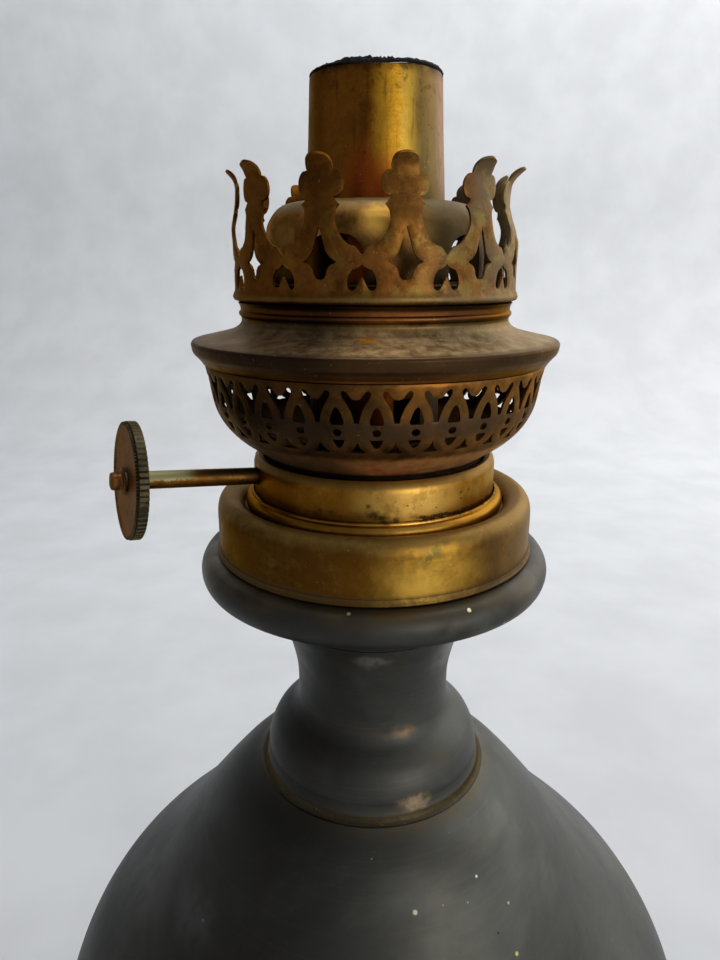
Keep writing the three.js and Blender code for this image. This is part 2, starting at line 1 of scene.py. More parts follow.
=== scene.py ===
"""Pewter kerosene lamp with a round-wick burner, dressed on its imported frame.

Lengths are in millimetres until a mesh is made. Angles round the lamp are degrees
from the front (-Y) towards +X. Heights are measured from the table.
"""
from math import ceil, cos, dist, exp, hypot, pi, radians, sin

import bmesh
import bpy
from mathutils import Matrix, Vector, geometry
from mathutils.noise import noise


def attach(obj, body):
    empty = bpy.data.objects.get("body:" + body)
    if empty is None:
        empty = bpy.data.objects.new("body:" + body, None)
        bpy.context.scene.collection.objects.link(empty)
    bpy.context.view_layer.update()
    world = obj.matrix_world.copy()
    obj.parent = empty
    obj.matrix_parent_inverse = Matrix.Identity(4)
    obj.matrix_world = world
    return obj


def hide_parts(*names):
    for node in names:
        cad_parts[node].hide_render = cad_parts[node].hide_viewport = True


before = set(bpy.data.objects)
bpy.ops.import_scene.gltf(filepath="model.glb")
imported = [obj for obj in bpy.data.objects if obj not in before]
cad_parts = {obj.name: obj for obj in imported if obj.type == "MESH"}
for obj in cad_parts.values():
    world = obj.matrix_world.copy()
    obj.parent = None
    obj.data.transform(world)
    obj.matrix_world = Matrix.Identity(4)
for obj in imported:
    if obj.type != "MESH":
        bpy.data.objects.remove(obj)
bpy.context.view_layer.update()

MM = 0.001
TINY = 1e-6
SEED = Vector((3.1, 7.7, 1.9))

LENS = 25.95
CAMERA_PLACE = (-0.0029, -0.1408, 0.25)  # metres
CAMERA_TILT = 16.82  # degrees down from level


# Camera

def add_object(name, data):
    obj = bpy.data.objects.new(name, data)
    bpy.context.scene.collection.objects.link(obj)
    return obj


def make_camera():
    data = bpy.data.cameras.new("camera")
    data.lens = LENS
    data.clip_start = 0.01
    camera = add_object("camera", data)
    camera.location = CAMERA_PLACE
    camera.rotation_euler = (radians(90 - CAMERA_TILT), 0, 0)
    bpy.context.scene.camera = camera


make_camera()


# Lines and walls

def curve(points, per):
    """A smooth line through the points, with a few steps between each two."""
    pts = [Vector(p) for p in points]
    gaps = [max((b - a).length, TINY) for a, b in zip(pts, pts[1:])]
    ways = [(b - a) / g for a, b, g in zip(pts, pts[1:], gaps)]
    slopes = [ways[0]]
    for a, b, g, h in zip(ways, ways[1:], gaps, gaps[1:]):
        slopes.append((a * h + b * g) / (g + h))
    slopes.append(ways[-1])
    line = []
    for i, gap in enumerate(gaps):
        p, q, m, n = pts[i], pts[i + 1], slopes[i] * gap, slopes[i + 1] * gap
        for j in range(per):
            t = j / per
            line.append(
                p * (2 * t**3 - 3 * t**2 + 1) + m * (t**3 - 2 * t**2 + t)
                + q * (3 * t**2 - 2 * t**3) + n * (t**3 - t**2)
            )
    return [tuple(p) for p in [*line, pts[-1]]]


def path(*runs, per=6):
    """Smooth runs that meet at corners: each starts at the last point of the one before it."""
    line, start = [], []
    for run in runs:
        run = [*start, *run]
        start = run[-1:]
        part = curve(run, per) if len(run) > 2 else run
        line += part[1:] if line and dist(line[-1], part[0]) < TINY else part
    return line


def moved(line, distance):
    """A line moved to the left of its way, with mitred corners."""
    pts = [Vector(p) for p in line]
    sides = []
    for a, b in zip(pts, pts[1:]):
        way = (b - a).normalized()
        sides.append(Vector((-way.y, way.x)))
    out = []
    for i, p in enumerate(pts):
        a, b = sides[max(i - 1, 0)], sides[min(i, len(sides) - 1)]
        out.append(tuple(p + (a + b) * (distance / (1 + max(a.dot(b), -0.5)))))
    return out


def around(radius, height, deg):
    angle = radians(deg)
    return Vector((radius * sin(angle), -radius * cos(angle), height))


def lathe(line, segments, shape=None):
    """A line of (radius, height) turned round Z. shape changes one point at one angle.

    The line closes on itself unless it starts on the axis.
    """
    verts, faces, rings = [], [], []
    for r, z in line:
        if r < 1e-5:
            rings.append([len(verts)])
            verts.append(Vector((0, 0, z)))
            continue
        rings.append([len(verts) + k for k in range(segments)])
        for k in range(segments):
            deg = 360 * k / segments
            radius, height = shape(r, z, deg) if shape else (r, z)
            verts.append(around(radius, height, deg))
    pairs = list(zip(rings, rings[1:]))
    if len(rings[0]) > 1:
        pairs.append((rings[-1], rings[0]))
    for low, high in pairs:
        for k in range(segments):
            n = (k + 1) % segments
            ring = [low[k % len(low)], low[n % len(low)], high[n % len(high)], high[k % len(high)]]
            face = list(dict.fromkeys(ring))
            if len(face) > 2:
                faces.append(face)
    return verts, faces


# Pieces

def piece(name, shape, body, look, *nodes, sharp=38, place=None, slot=None):
    """A mesh that rides on a body and stands for its nodes, or only shares a node's finish."""
    verts, faces = shape
    mesh = bpy.data.meshes.new(name)
    mesh.from_pydata([v * MM for v in verts], [], faces)
    bm = bmesh.new()
    bm.from_mesh(mesh)
    bmesh.ops.recalc_face_normals(bm, faces=bm.faces)
    if place:
        bm.transform(place)
    bm.to_mesh(mesh)
    bm.free()
    mesh.shade_smooth()
    mesh.set_sharp_from_angle(angle=radians(sharp))
    mesh.materials.append(LOOKS[look])
    obj = add_object(name, mesh)
    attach(obj, body)
    if nodes:
        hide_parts(*nodes)
    return obj


# Pierced sheet metal

THICK, THIN = 0.7, 0.6  # sheets
WORN_EDGE = 0.26  # share of the sheet's thickness
FILL_GAP = 0.45  # share of a step that inner points keep from the borders


class Wall:
    """A round wall's outer line from its foot up, walked by arc length.

    It is made of equal units round the lamp, and half is half of one unit's width at
    the middle radius.
    """

    def __init__(self, line, middle, units=1):
        self.line = line = [Vector(p) for p in line]
        self.middle, self.units = middle, units
        self.half = pi * middle / units
        self.ways = [0.0]
        for a, b in zip(line, line[1:]):
            self.ways.append(self.ways[-1] + (b - a).length)
        self.length = self.ways[-1]
        self.normals = []
        for i in range(len(line)):
            way = line[min(i + 1, len(line) - 1)] - line[max(i - 1, 0)]
            self.normals.append(Vector((way.y, -way.x)).normalized())

    def at(self, s):
        s = min(max(s, 0), self.length)
        i = 0
        while i < len(self.ways) - 2 and self.ways[i + 1] < s:
            i += 1
        t = (s - self.ways[i]) / max(self.ways[i + 1] - self.ways[i], 1e-9)
        point = self.line[i].lerp(self.line[i + 1], t)
        return point, self.normals[i].lerp(self.normals[i + 1], t).normalized()

    def way_to(self, height):
        for (a, b), s in zip(zip(self.line, self.line[1:]), self.ways):
            if a.y <= height <= b.y and b.y > a.y:
                return s + (b - a).length * (height - a.y) / (b.y - a.y)
        return 0.0 if height < self.line[0].y else self.length

    def opening(self, radius, *runs):
        """Runs of (half width mm, height) as (sideways mm at the middle radius, way up)."""
        return [(max(x, 0) * self.middle / radius, self.way_to(z)) for x, z in path(*runs, per=4)]

    def on_border(self, opening):
        return [(self.half - x, s) for x, s in opening]

    def whole(self, border=()):
        """The right half of a unit's outline, with openings that lie across its border."""
        side = [point for opening in border for point in self.on_border(opening)]
        return [(0, 0), (self.half, 0), *side, (self.half, self.length), (0, self.length)]


def inside(point, loop):
    x, y = point
    found = False
    for (ax, ay), (bx, by) in zip(loop, loop[1:] + loop[:1]):
        if (ay > y) != (by > y) and x < (bx - ax) * (y - ay) / (by - ay) + ax:
            found = not found
    return found


def split(line, step):
    """The same line with no stretch longer than a step."""
    out = [line[0]]
    for a, b in zip(line, line[1:]):
        count = max(1, ceil(dist(a, b) / step - TINY))
        out += [tuple(a[k] + (b[k] - a[k]) * j / count for k in (0, 1)) for j in range(1, count + 1)]
    return out


def pierced(wall, right, holes, turn, thick, step, warp=None):
    """A sheet with openings, the same in each unit of its wall.

    right is the right half of one unit's outline and holes are right halves of closed
    openings, all as (sideways mm, way up mm). The cut edges are worn down on the outside.
    """
    lines = [split(line, step) for line in (right, *holes)]
    loops = [line + [(-x, s) for x, s in reversed(line) if x > TINY] for line in lines]
    outline, *holes = loops

    def solid(p):
        return inside(p, outline) and not any(inside(p, hole) for hole in holes)

    coords, edges = [], []
    for loop in loops:
        first = len(coords)
        coords += [Vector(p) for p in loop]
        edges += [(first + i, first + (i + 1) % len(loop)) for i in range(len(loop))]
    border = [p for loop in loops for p in loop]
    low, high = min(s for _, s in outline), max(s for _, s in outline)
    half = max(x for x, _ in outline)
    columns, rows = ceil(2 * half / step), ceil((high - low) / step)
    for i in range(columns):
        for j in range(rows):
            p = (-half + 2 * half * (i + 0.5) / columns, low + (high - low) * (j + 0.5) / rows)
            if min(dist(p, q) for q in border) >= step * FILL_GAP and solid(p):
                coords.append(Vector(p))
    points, _, faces, *_ = geometry.delaunay_2d_cdt(coords, edges, [], 0, 1e-5, False)
    kept = [face for face in faces if solid(sum((points[i] for i in face), Vector((0, 0))) / 3)]
    per_mm = 180 / wall.units / wall.half
    found, outer, inner, front = {}, [], [], []
    for k in range(wall.units):
        ids = []
        for p in points:
            deg = turn + k * 360 / wall.units + p.x * per_mm
            key = (round(deg % 360, 3) % 360, round(p.y, 3))
            if key not in found:
                found[key] = len(outer)
                place, normal = wall.at(p.y)
                back = place - normal * thick
                if warp:
                    place, back, deg = warp(place, back, deg, k)
                outer.append(around(place.x, place.y, deg))
                inner.append(around(back.x, back.y, deg))
            ids.append(found[key])
        front += [[ids[i] for i in face] for face in kept]
    front = [f for f in front if len(set(f)) == 3]
    used = dict.fromkeys((a, b) for f in front for a, b in zip(f, f[1:] + f[:1]))
    shift = len(outer)
    faces = front + [[i + shift for i in reversed(f)] for f in front]
    cut = [(a, b) for a, b in used if (b, a) not in used]
    faces += [[b, a, a + shift, b + shift] for a, b in cut]
    for i in {i for edge in cut for i in edge}:
        outer[i] = outer[i].lerp(inner[i], WORN_EDGE)
    return outer + inner, faces


# Materials

SPINDLE_TURN, SPINDLE_RISE = -61.2, 5.9  # degrees round the lamp, degrees up


def tone(*shade):
    """Three parts from 0 to 255 as the linear colour of a socket."""
    parts = [v / 255 for v in shade]
    return (*[v / 12.92 if v <= 0.04045 else ((v + 0.055) / 1.055) ** 2.4 for v in parts], 1)


class Nodes:
    """A node tree, and short ways to add to it. A value is a number or a socket."""

    def __init__(self, owner):
        owner.use_nodes = True
        self.tree = owner.node_tree
        self.tree.nodes.clear()

    def node(self, kind, inputs=None, **settings):
        made = self.tree.nodes.new("ShaderNode" + kind)
        for key, value in settings.items():
            setattr(made, key, value)
        for key, value in (inputs or {}).items():
            if isinstance(value, bpy.types.NodeSocket):
                self.tree.links.new(value, made.inputs[key])
            else:
                made.inputs[key].default_value = value
        return made

    def math(self, operation, value, *others):
        """The operation on a value and each of the others in turn."""
        for other in others:
            value = self.node("Math", {0: value, 1: other}, operation=operation).outputs[0]
        return value

    def vector(self, operation, *values):
        made = self.node("VectorMath", dict(enumerate(values)), operation=operation)
        return made.outputs["Value" if operation in ("LENGTH", "DOT_PRODUCT") else "Vector"]

    def step(self, value, low, high):
        """0 under low, 1 over high and smooth between."""
        return self.node("MapRange", {0: value, 1: low, 2: high}, interpolation_type="SMOOTHSTEP").outputs[0]

    def span(self, value, low, high, start, end):
        """start under low, end over high and straight between."""
        return self.node("MapRange", {0: value, 1: low, 2: high, 3: start, 4: end}).outputs[0]


class Look(Nodes):
    """A procedural material, painted in layers, whose places are the lamp's own, in metres."""

    def __init__(self, name):
        self.material = bpy.data.materials.new(name)
        super().__init__(self.material)
        self.place = self.node("TexCoord").outputs["Object"]
        self.side, front, self.height = self.node("SeparateXYZ", {0: self.place}).outputs
        flat = self.node("CombineXYZ", {0: self.side, 1: front}).outputs[0]
        self.radius = self.vector("LENGTH", flat)

    def both(self, *values):
        return self.math("MULTIPLY", *values)

    def any(self, *values):
        return self.math("MAXIMUM", *values)

    def rest(self, value):
        return self.math("SUBTRACT", 1, value)

    def scaled(self, x, y, z, vector=None):
        return self.vector("MULTIPLY", vector or self.place, (x, y, z))

    def noise(self, size, detail=4, rough=0.55, twist=0, vector=None):
        """Noise with features of about a size in mm, from 0 to 1."""
        inputs = {"Vector": vector or self.place, "Scale": 1 / (size * MM), "Detail": detail,
                  "Roughness": rough, "Distortion": twist}
        return self.node("TexNoise", inputs).outputs["Fac"]

    def spots(self, low, high, *grain):
        """Spots where a noise of this grain is high."""
        return self.step(self.noise(*grain), low, high)

    def ragged(self, value, amount, *grain):
        """The value with its edge made ragged by noise."""
        return self.math("ADD", value, self.both(self.math("SUBTRACT", self.noise(*grain), 0.5), amount))

    def rings(self, size, wobble=0):
        """Noise that is the same all round the axis, like turning marks."""
        vector = self.node("CombineXYZ", {0: self.radius, 1: self.height}).outputs[0]
        vector = self.vector("ADD", vector, self.scaled(wobble, wobble, 0))
        return self.noise(size, 3, 0.6, vector=vector)

    def streaks(self, size, stretch, twist):
        return self.noise(size, 4, 0.6, twist, self.scaled(1, 1, stretch))

    def past(self, value, low, high):
        """A step between two places in mm."""
        return self.step(value, low * MM, high * MM)

    def band(self, low, high, soft):
        """1 between two heights in mm."""
        up = self.past(self.height, low - soft, low + soft)
        down = self.past(self.height, high - soft, high + soft)
        return self.math("SUBTRACT", up, down)

    def near(self, place, size, soft, ragged, grain, flat=1):
        """1 round (radius, height, degrees), with a ragged edge. flat under 1 makes it lie down."""
        away = self.vector("SUBTRACT", self.place, around(*place) * MM)
        length = self.vector("LENGTH", self.scaled(1, 1, 1 / flat, away))
        edge = self.ragged(length, ragged * 2 * size * MM, grain, 3)
        return self.rest(self.past(edge, size * (1 - soft), size * (1 + soft * 0.4)))

    def mix(self, factor, shade, mode="MIX"):
        inputs = {0: factor, 6: self.colour, 7: shade}
        self.colour = self.node("Mix", inputs, data_type="RGBA", blend_type=mode).outputs[2]

    def lay(self, shade, *masks):
        """A layer of a shade where all the masks are, and as strong as they are."""
        self.mix(self.both(*masks), tone(*shade))

    def ramp(self, value, places, colours):
        node = self.node("ValToRGB", {0: value})
        node.color_ramp.interpolation = "EASE"
        points = node.color_ramp.elements
        while len(points) < len(places):
            points.new(0.5)
        for point, place, colour in zip(points, places, colours):
            point.position = place
            point.color = colour
        return node.outputs[0]

    def base(self, value, shades, places=(0.3, 0.5, 0.7)):
        self.colour = self.ramp(value, places, [tone(*shade) for shade in shades])

    def aged_with_painted_light(self, left, middle, right, start=0.05):
        """Painted light and shade: the colour times shares that change round the lamp, from its left to its
        right.
        """
        side = self.math("DIVIDE", self.side, self.radius)
        shares = [(*share, 1) for share in (left, middle, right)]
        self.mix(1.0, self.ramp(self.step(side, -0.95, 0.95), (start, 0.5, 0.95), shares), "MULTIPLY")

    def finish(self, rough, metallic, heights=(), **sockets):
        """heights are pairs of a value and its depth in mm."""
        sockets |= {"Base_Color": self.colour, "Roughness": rough, "Metallic": metallic}
        for value, depth in heights:
            inputs = {"Height": value, "Distance": depth * MM}
            if "Normal" in sockets:
                inputs["Normal"] = sockets["Normal"]
            sockets["Normal"] = self.node("Bump", inputs).outputs[0]
        inputs = {key.replace("_", " "): value for key, value in sockets.items()}
        shader = self.node("BsdfPrincipled", inputs)
        self.node("OutputMaterial", {0: shader.outputs[0]})
        return self.material


def pewter(name, brown, scuffs_and_painted_light, specks):
    """Old pewter: charcoal with faint turning marks, brown patches, scuffed patches, hairlines and specks,
    painted shade on the left and painted light on the right; some of the scuffed patches are painted
    highlights and painted shade.
    """
    mat = Look(name)
    mat.base(mat.noise(38, 5, 0.6, 0.4), [(53, 52, 50), (66, 66, 63), (82, 82, 78)])
    mat.lay((80, 66, 48), mat.spots(0.5, 0.74, 17, 4, 0.6, 0.6), brown)
    rings = mat.rings(0.7, 0.012)
    mat.lay((116, 114, 110), mat.step(rings, 0.5, 0.8), 0.1)
    mat.lay((118, 114, 106), mat.spots(0.56, 0.76, 1.2, 8, 0.85), 0.34)
    pits = mat.spots(0.68, 0.8, 0.7, 3, 0.6)
    mat.lay((34, 33, 33), pits, 0.55)
    hairs = mat.math("SUBTRACT", mat.noise(26, 2, 0.4, 3), 0.5)
    hairs = mat.node("Math", {0: hairs}, operation="ABSOLUTE").outputs[0]
    hairs = mat.both(mat.rest(mat.step(hairs, 0, 0.0035)), mat.spots(0.64, 0.72, 5, 3))
    mat.lay((126, 126, 126), hairs, 0.16)
    soldered = mat.span(mat.noise(3, 5, 0.6), 0.3, 0.7, 0.15, 0.6)
    mat.lay((84, 72, 48), mat.band(139.7, 143, 0.8), soldered)
    # Painted shade on the left and painted light on the right.
    mat.aged_with_painted_light((0.6, 0.58, 0.57), (1.16, 1.16, 1.14), (1.32, 1.34, 1.3))
    for place, size, shade, flat, strength in scuffs_and_painted_light:
        scuff_and_light_patch = mat.near(place, size, 0.9, 0.6, size * 0.6, flat)
        mat.lay(shade, scuff_and_light_patch, mat.spots(0.2, 0.6, max(2, size * 0.5), 2, 0.5), strength)
    for place, size, shade in specks:
        mat.lay(shade, mat.near(place, size * 0.75, 0.35, 0.35, 0.5))
    rough = mat.span(mat.noise(9, 6, 0.7), 0.3, 0.7, 0.46, 0.55)
    heights = [(rings, 0.004), (mat.noise(24, 3), 0.25), (pits, -0.02), (mat.noise(1.4, 4), 0.01),
               (hairs, -0.01)]
    return mat.finish(rough, 0.9, heights)


def brass(name, patch, shades, dark, rough, metallic=0.95, extra=None, places=(0.3, 0.5, 0.7),
          dark_from=0.52, streak=None, rings=0.012):
    """Old brass. extra adds stains of its own, with painted highlights and painted shade on most parts, and
    gives the dust that dulls them.
    """
    mat = Look(name)
    mat.base(mat.noise(patch, 5, 0.62, 0.5), shades, places)
    mat.lay(dark, mat.spots(dark_from, 0.72, patch * 0.34, 5, 0.65), 0.8)
    if streak:
        mat.lay(streak, mat.step(mat.streaks(2.4, 0.05, 0.3), 0.5, 0.68), 0.7)
    fine = mat.noise(1.1, 6, 0.75)
    mat.lay((24, 18, 10), mat.step(fine, 0.48, 0.7), 0.27)
    mat.lay(shades[-1], mat.spots(0.55, 0.68, 2.3, 7, 0.85, 0.7), 0.34)
    mat.lay((30, 22, 12), mat.spots(0.56, 0.7, 1.7, 6, 0.8, 0.4), 0.22)
    holes = mat.spots(0.7, 0.78, 0.55, 3, 0.5)
    mat.lay((26, 22, 14), holes, 0.5)
    wear = mat.span(mat.noise(patch * 0.5, 5, 0.7), 0.3, 0.7, *rough)
    if extra:
        dust = extra(mat)
        motes = mat.spots(0.69, 0.74, 0.5, 2, 0.5)
        mat.lay((170, 152, 112), motes, mat.spots(0.4, 0.6, 6, 3), 0.4)
        wear = mat.math("ADD", wear, mat.both(dust, 0.2))
        metallic = mat.both(mat.rest(dust), metallic)
    heights = [(mat.rings(0.5), rings), (mat.noise(9, 3), 0.22), (mat.noise(3, 3), 0.03), (fine, 0.03),
               (holes, -0.02)]
    return mat.finish(wear, metallic, heights, Specular_Tint=(0.78, 0.6, 0.4, 1))


def crown_extra(mat):
    # Painted highlights: gold flecks right of the middle.
    gold = mat.spots(0.52, 0.66, 5, 6, 0.7, 0.2)
    mat.lay((150, 116, 52), gold, mat.past(mat.side, -6, 12), 0.45)
    # Painted shade: greyer, darker flecks on the right side.
    mat.lay((92, 80, 62), mat.past(mat.side, 4, 19), mat.spots(0.36, 0.56, 10, 4), 0.75)
    mat.lay((136, 82, 44), mat.band(246.5, 252, 2), mat.spots(0.45, 0.62, 6, 5, 0.7), 0.5)
    olive = mat.spots(0.52, 0.6, 3.2, 5, 0.65, 0.2)
    mat.lay((128, 118, 58), olive, mat.past(mat.side, -30, 10), 0.4)
    mat.lay((74, 44, 18), mat.spots(0.54, 0.64, 4.2, 6, 0.75, 0.2), 0.5)
    # Painted highlight along the top of the bead.
    mat.lay((122, 104, 70), mat.band(245.2, 245.9, 0.25), 0.6)
    # Painted shade in the band under the bead.
    mat.lay((74, 50, 26), mat.band(240, 244.9, 0.2))
    # Painted shade on the left and painted light in the middle and on the right.
    mat.aged_with_painted_light((0.72, 0.58, 0.36), (1.2, 1.12, 1.0), (1.08, 1.12, 1.2), 0.12)
    film = mat.span(mat.noise(2.6, 6, 0.75), 0.35, 0.7, 0, 0.14)
    return mat.math("ADD", film, mat.both(mat.past(mat.side, 0, 24), 0.24))


def flange_extra(mat):
    top = mat.both(mat.band(237.3, 241.2, 0.25), mat.past(mat.radius, 25.6, 26.6))
    dust = mat.both(top, mat.span(mat.noise(3, 7, 0.85), 0.38, 0.62, 0.3, 1))
    mat.lay((186, 156, 112), dust)
    edge = mat.both(mat.band(234.2, 237.5, 0.3), mat.past(mat.radius, 33.5, 34.5))
    mat.lay((62, 44, 28), edge, 0.8)
    mat.lay((122, 100, 60), mat.band(240.4, 242, 0.2), mat.spots(0.4, 0.55, 8, 3), 0.5)
    mat.lay((140, 84, 46), mat.band(242.2, 243.6, 0.25), 0.6)
    # Painted shade under the crown's bead.
    mat.lay((60, 42, 24), mat.band(243.8, 245, 0.15))
    # Painted reflection: a red-brown band on the lower lip below the edge.
    mat.lay((104, 64, 30), mat.band(232, 234.4, 0.3), 0.6)
    # Painted highlight: a small bright glint at the front.
    mat.lay((200, 132, 48), mat.near((28, 239.3, -4), 1.6, 0.8, 0.9, 1.2, 0.5))
    # Painted light in the middle and painted shade on both sides, deepest on the left.
    mat.aged_with_painted_light((0.3, 0.28, 0.27), (1.26, 1.22, 1.16), (0.68, 0.74, 0.8), 0.2)
    return mat.math("ADD", mat.both(dust, 0.66), mat.both(edge, 0.2))


def basket_extra(mat):
    low = mat.rest(mat.past(mat.ragged(mat.height, 2 * MM, 2, 5, 0.7), 218.8, 220.2))
    film = mat.span(mat.noise(2.4, 6, 0.75), 0.35, 0.65, 0.45, 1)
    mat.lay((146, 104, 60), low, film)
    red = mat.near((24, 216.2, 0), 8.5, 0.9, 0.8, 2, 0.3)
    mat.lay((190, 92, 62), red, mat.spots(0.46, 0.6, 1.6, 5), low, 0.7)
    mat.lay((34, 24, 16), mat.rest(mat.past(mat.height, 214.9, 215.6)))
    mat.lay((62, 52, 42), mat.band(223.6, 227.2, 0.5), 0.5)
    mat.lay((136, 88, 34), mat.band(230.9, 233.4, 0.6), mat.spots(0.4, 0.6, 6, 5, 0.7), 0.6)
    # Painted shade on the left and painted light in the middle and on the right.
    mat.aged_with_painted_light((0.34, 0.33, 0.35), (1.4, 1.3, 1.15), (1.5, 1.5, 1.6), 0.25)
    # Painted shade on the lower, downward-facing part of the bowl.
    mat.lay((40, 30, 22), mat.band(219.8, 226.4, 0.5), 0.3)
    return mat.math("ADD", mat.both(low, film, 0.6), 0.12)


def drum_extra(mat):
    # Painted highlight: a bright gold patch right of the front.
    painted_highlight = mat.near((24.9, 209.5, 14), 11, 1, 0.4, 5, 0.6)
    mat.lay((244, 196, 100), painted_highlight, 0.8)
    # Painted shade on the left and painted light on the right limb.
    mat.lay((100, 56, 8), mat.near((24.9, 209, -56), 22, 1, 0.5, 4), 0.8)
    mat.lay((172, 150, 98), mat.near((24.9, 209, 78), 14, 1, 0.5, 4), 0.6)
    # Flecks inside the painted highlight.
    mat.lay((150, 106, 44), mat.spots(0.62, 0.7, 0.7, 4, 0.6), painted_highlight, 0.5)
    rag = mat.ragged(mat.height, 2.6 * MM, 1.6, 6, 0.8)
    brown = mat.math("SUBTRACT", mat.past(rag, 206.8, 207.1), mat.past(rag, 207.6, 207.9))
    mat.lay((70, 48, 24), brown, mat.past(mat.side, 6.5, 8.5), 0.95)
    for deg, height, size in (
            (-1.5, 208.5, 1.3), (2, 207.8, 1.3), (-3.5, 210, 0.6), (8, 207.3, 0.8), (-24, 208.6, 0.6),
            (-19, 208.5, 0.5), (39, 211, 0.45), (44, 211, 0.45), (39.5, 209.8, 0.3), (47, 213.2, 0.25),
            (4, 206.6, 1.2), (-12, 206.2, 0.5), (13, 210, 0.25), (26, 209, 0.25)):
        mat.lay((56, 48, 26), mat.near((24.9, height, deg), size, 0.9, 0.9, 0.6, 0.7), 0.85)
    mat.lay((110, 70, 18), mat.spots(0.48, 0.64, 3.2, 6, 0.75), 0.4)
    top = mat.band(213, 216, 0.4)
    mat.lay((110, 86, 42), top, 0.7)
    mat.lay((150, 106, 36), mat.rest(mat.past(mat.height, 206.6, 207)), 0.5)
    # Painted highlight: a bright line at the bead's lower edge.
    mat.lay((206, 164, 76), mat.band(203, 204.5, 0.15), 0.6)
    return mat.both(top, 0.3)


def collar_extra(mat):
    # Painted shade on the left.
    mat.lay((58, 36, 14), mat.near((32.8, 200, -50), 22, 1, 0.4, 8), 0.6)
    mat.lay((116, 74, 18), mat.near((32.8, 198, 2), 15, 1, 0.5, 6, 0.6), 0.6)
    # Bright brass right of the front, partly a painted highlight.
    patch = mat.near((32.8, 199.3, 17), 10.5, 0.9, 0.5, 6, 0.75)
    mat.lay((212, 164, 66), patch, mat.span(mat.noise(2.2, 7, 0.8), 0.3, 0.7, 0.45, 1))
    mat.lay((88, 56, 16), mat.spots(0.47, 0.62, 4, 6, 0.75, 0.2), 0.4)
    mat.lay((140, 112, 52), mat.spots(0.5, 0.66, 5, 6, 0.7), 0.25)
    # Painted highlight: a bright spot right of the front.
    mat.lay((236, 186, 80), mat.near((32.8, 197.6, 13), 5, 0.9, 0.6, 3, 0.8), 0.7)
    right = mat.both(mat.near((32.8, 201, 72), 18, 1, 0.4, 6), 0.6)
    mat.lay((138, 120, 92), right)
    left = mat.both(mat.near((32.8, 201, -88), 12, 1, 0.4, 6), 0.7)
    mat.lay((116, 104, 98), left)
    crest = mat.past(mat.ragged(mat.height, 3 * MM, 5, 5, 0.7), 203.4, 206.2)
    grey = mat.both(crest, mat.span(mat.noise(3, 7, 0.8), 0.3, 0.7, 0.4, 1))
    mat.lay((144, 114, 58), grey)
    green = mat.near((32.5, 203.9, 18), 1.2, 0.5, 1.2, 0.8)
    mat.lay((96, 96, 52), mat.any(green, mat.near((32.7, 203, 15.5), 0.8, 0.5, 1.1, 0.6)), 0.7)
    pale = mat.spots(0.7, 0.75, 0.9, 3, 0.5)
    mat.lay((160, 152, 112), pale, mat.past(mat.height, 199.5, 205.5), 0.7)
    base = mat.rest(mat.past(mat.height, 195.6, 196.6))
    mat.lay((76, 60, 34), base, mat.span(mat.noise(2, 6, 0.8), 0.35, 0.65, 0.35, 0.95))
    return mat.any(mat.both(grey, 0.55), mat.both(left, 0.5), mat.both(right, 0.6), mat.both(base, 0.4))


def tube_extra(mat):
    flat = mat.scaled(1, 1, 0)
    # Bands by the way the wall faces: painted shade on the left (-66°), painted highlights right of the
    # front (12° and 27°), a painted reflection on the right limb (72°) and a painted shadow on the lower
    # left inside the basket (-40°); the rest are the tube's own tarnish.
    for deg, half, low, high, shade, strength in (
            (-66, 22, 210, 290, (86, 50, 16), 0.8), (-30, 14, 250, 290, (120, 74, 22), 0.6),
            (-4, 15, 210, 270, (132, 56, 18), 0.85), (12, 12, 268, 290, (178, 132, 34), 0.75),
            (27, 7, 256, 290, (172, 140, 56), 0.8), (48, 13, 210, 290, (112, 96, 56), 0.8),
            (72, 12, 210, 290, (134, 108, 90), 0.75), (-40, 32, 205, 246, (22, 12, 8), 0.85)):
        facing = mat.vector("DOT_PRODUCT", flat, around(1, 0, deg))
        facing = mat.ragged(mat.math("DIVIDE", facing, mat.radius), 0.05, 4, 5, 0.7)
        edge = cos(radians(half * 1.6))
        mat.lay(shade, mat.step(facing, edge, 1 - (1 - edge) * 0.15), mat.band(low, high, 4), strength)
    drips = mat.step(mat.streaks(1.3, 0.12, 0.2), 0.56, 0.7)
    mat.lay((56, 34, 12), drips, mat.band(266, 290, 6), 0.4)
    mat.lay((62, 38, 16), mat.spots(0.6, 0.68, 1.4, 5, 0.7, 0.4), mat.band(262, 290, 8), 0.6)
    burnt = mat.spots(0.5, 0.62, 2.2, 6, 0.75, 0.3)
    mat.lay((74, 44, 16), burnt, mat.band(278.5, 290, 2), 0.7)
    soot = mat.past(mat.height, 281.2, 283.4)
    mat.lay((30, 22, 14), soot, mat.span(mat.noise(2, 5), 0.3, 0.7, 0.3, 1))
    film = mat.both(mat.spots(0.45, 0.65, 3, 6, 0.8), 0.2)
    return mat.any(film, mat.both(mat.past(mat.side, 6, 11.5), 0.45))


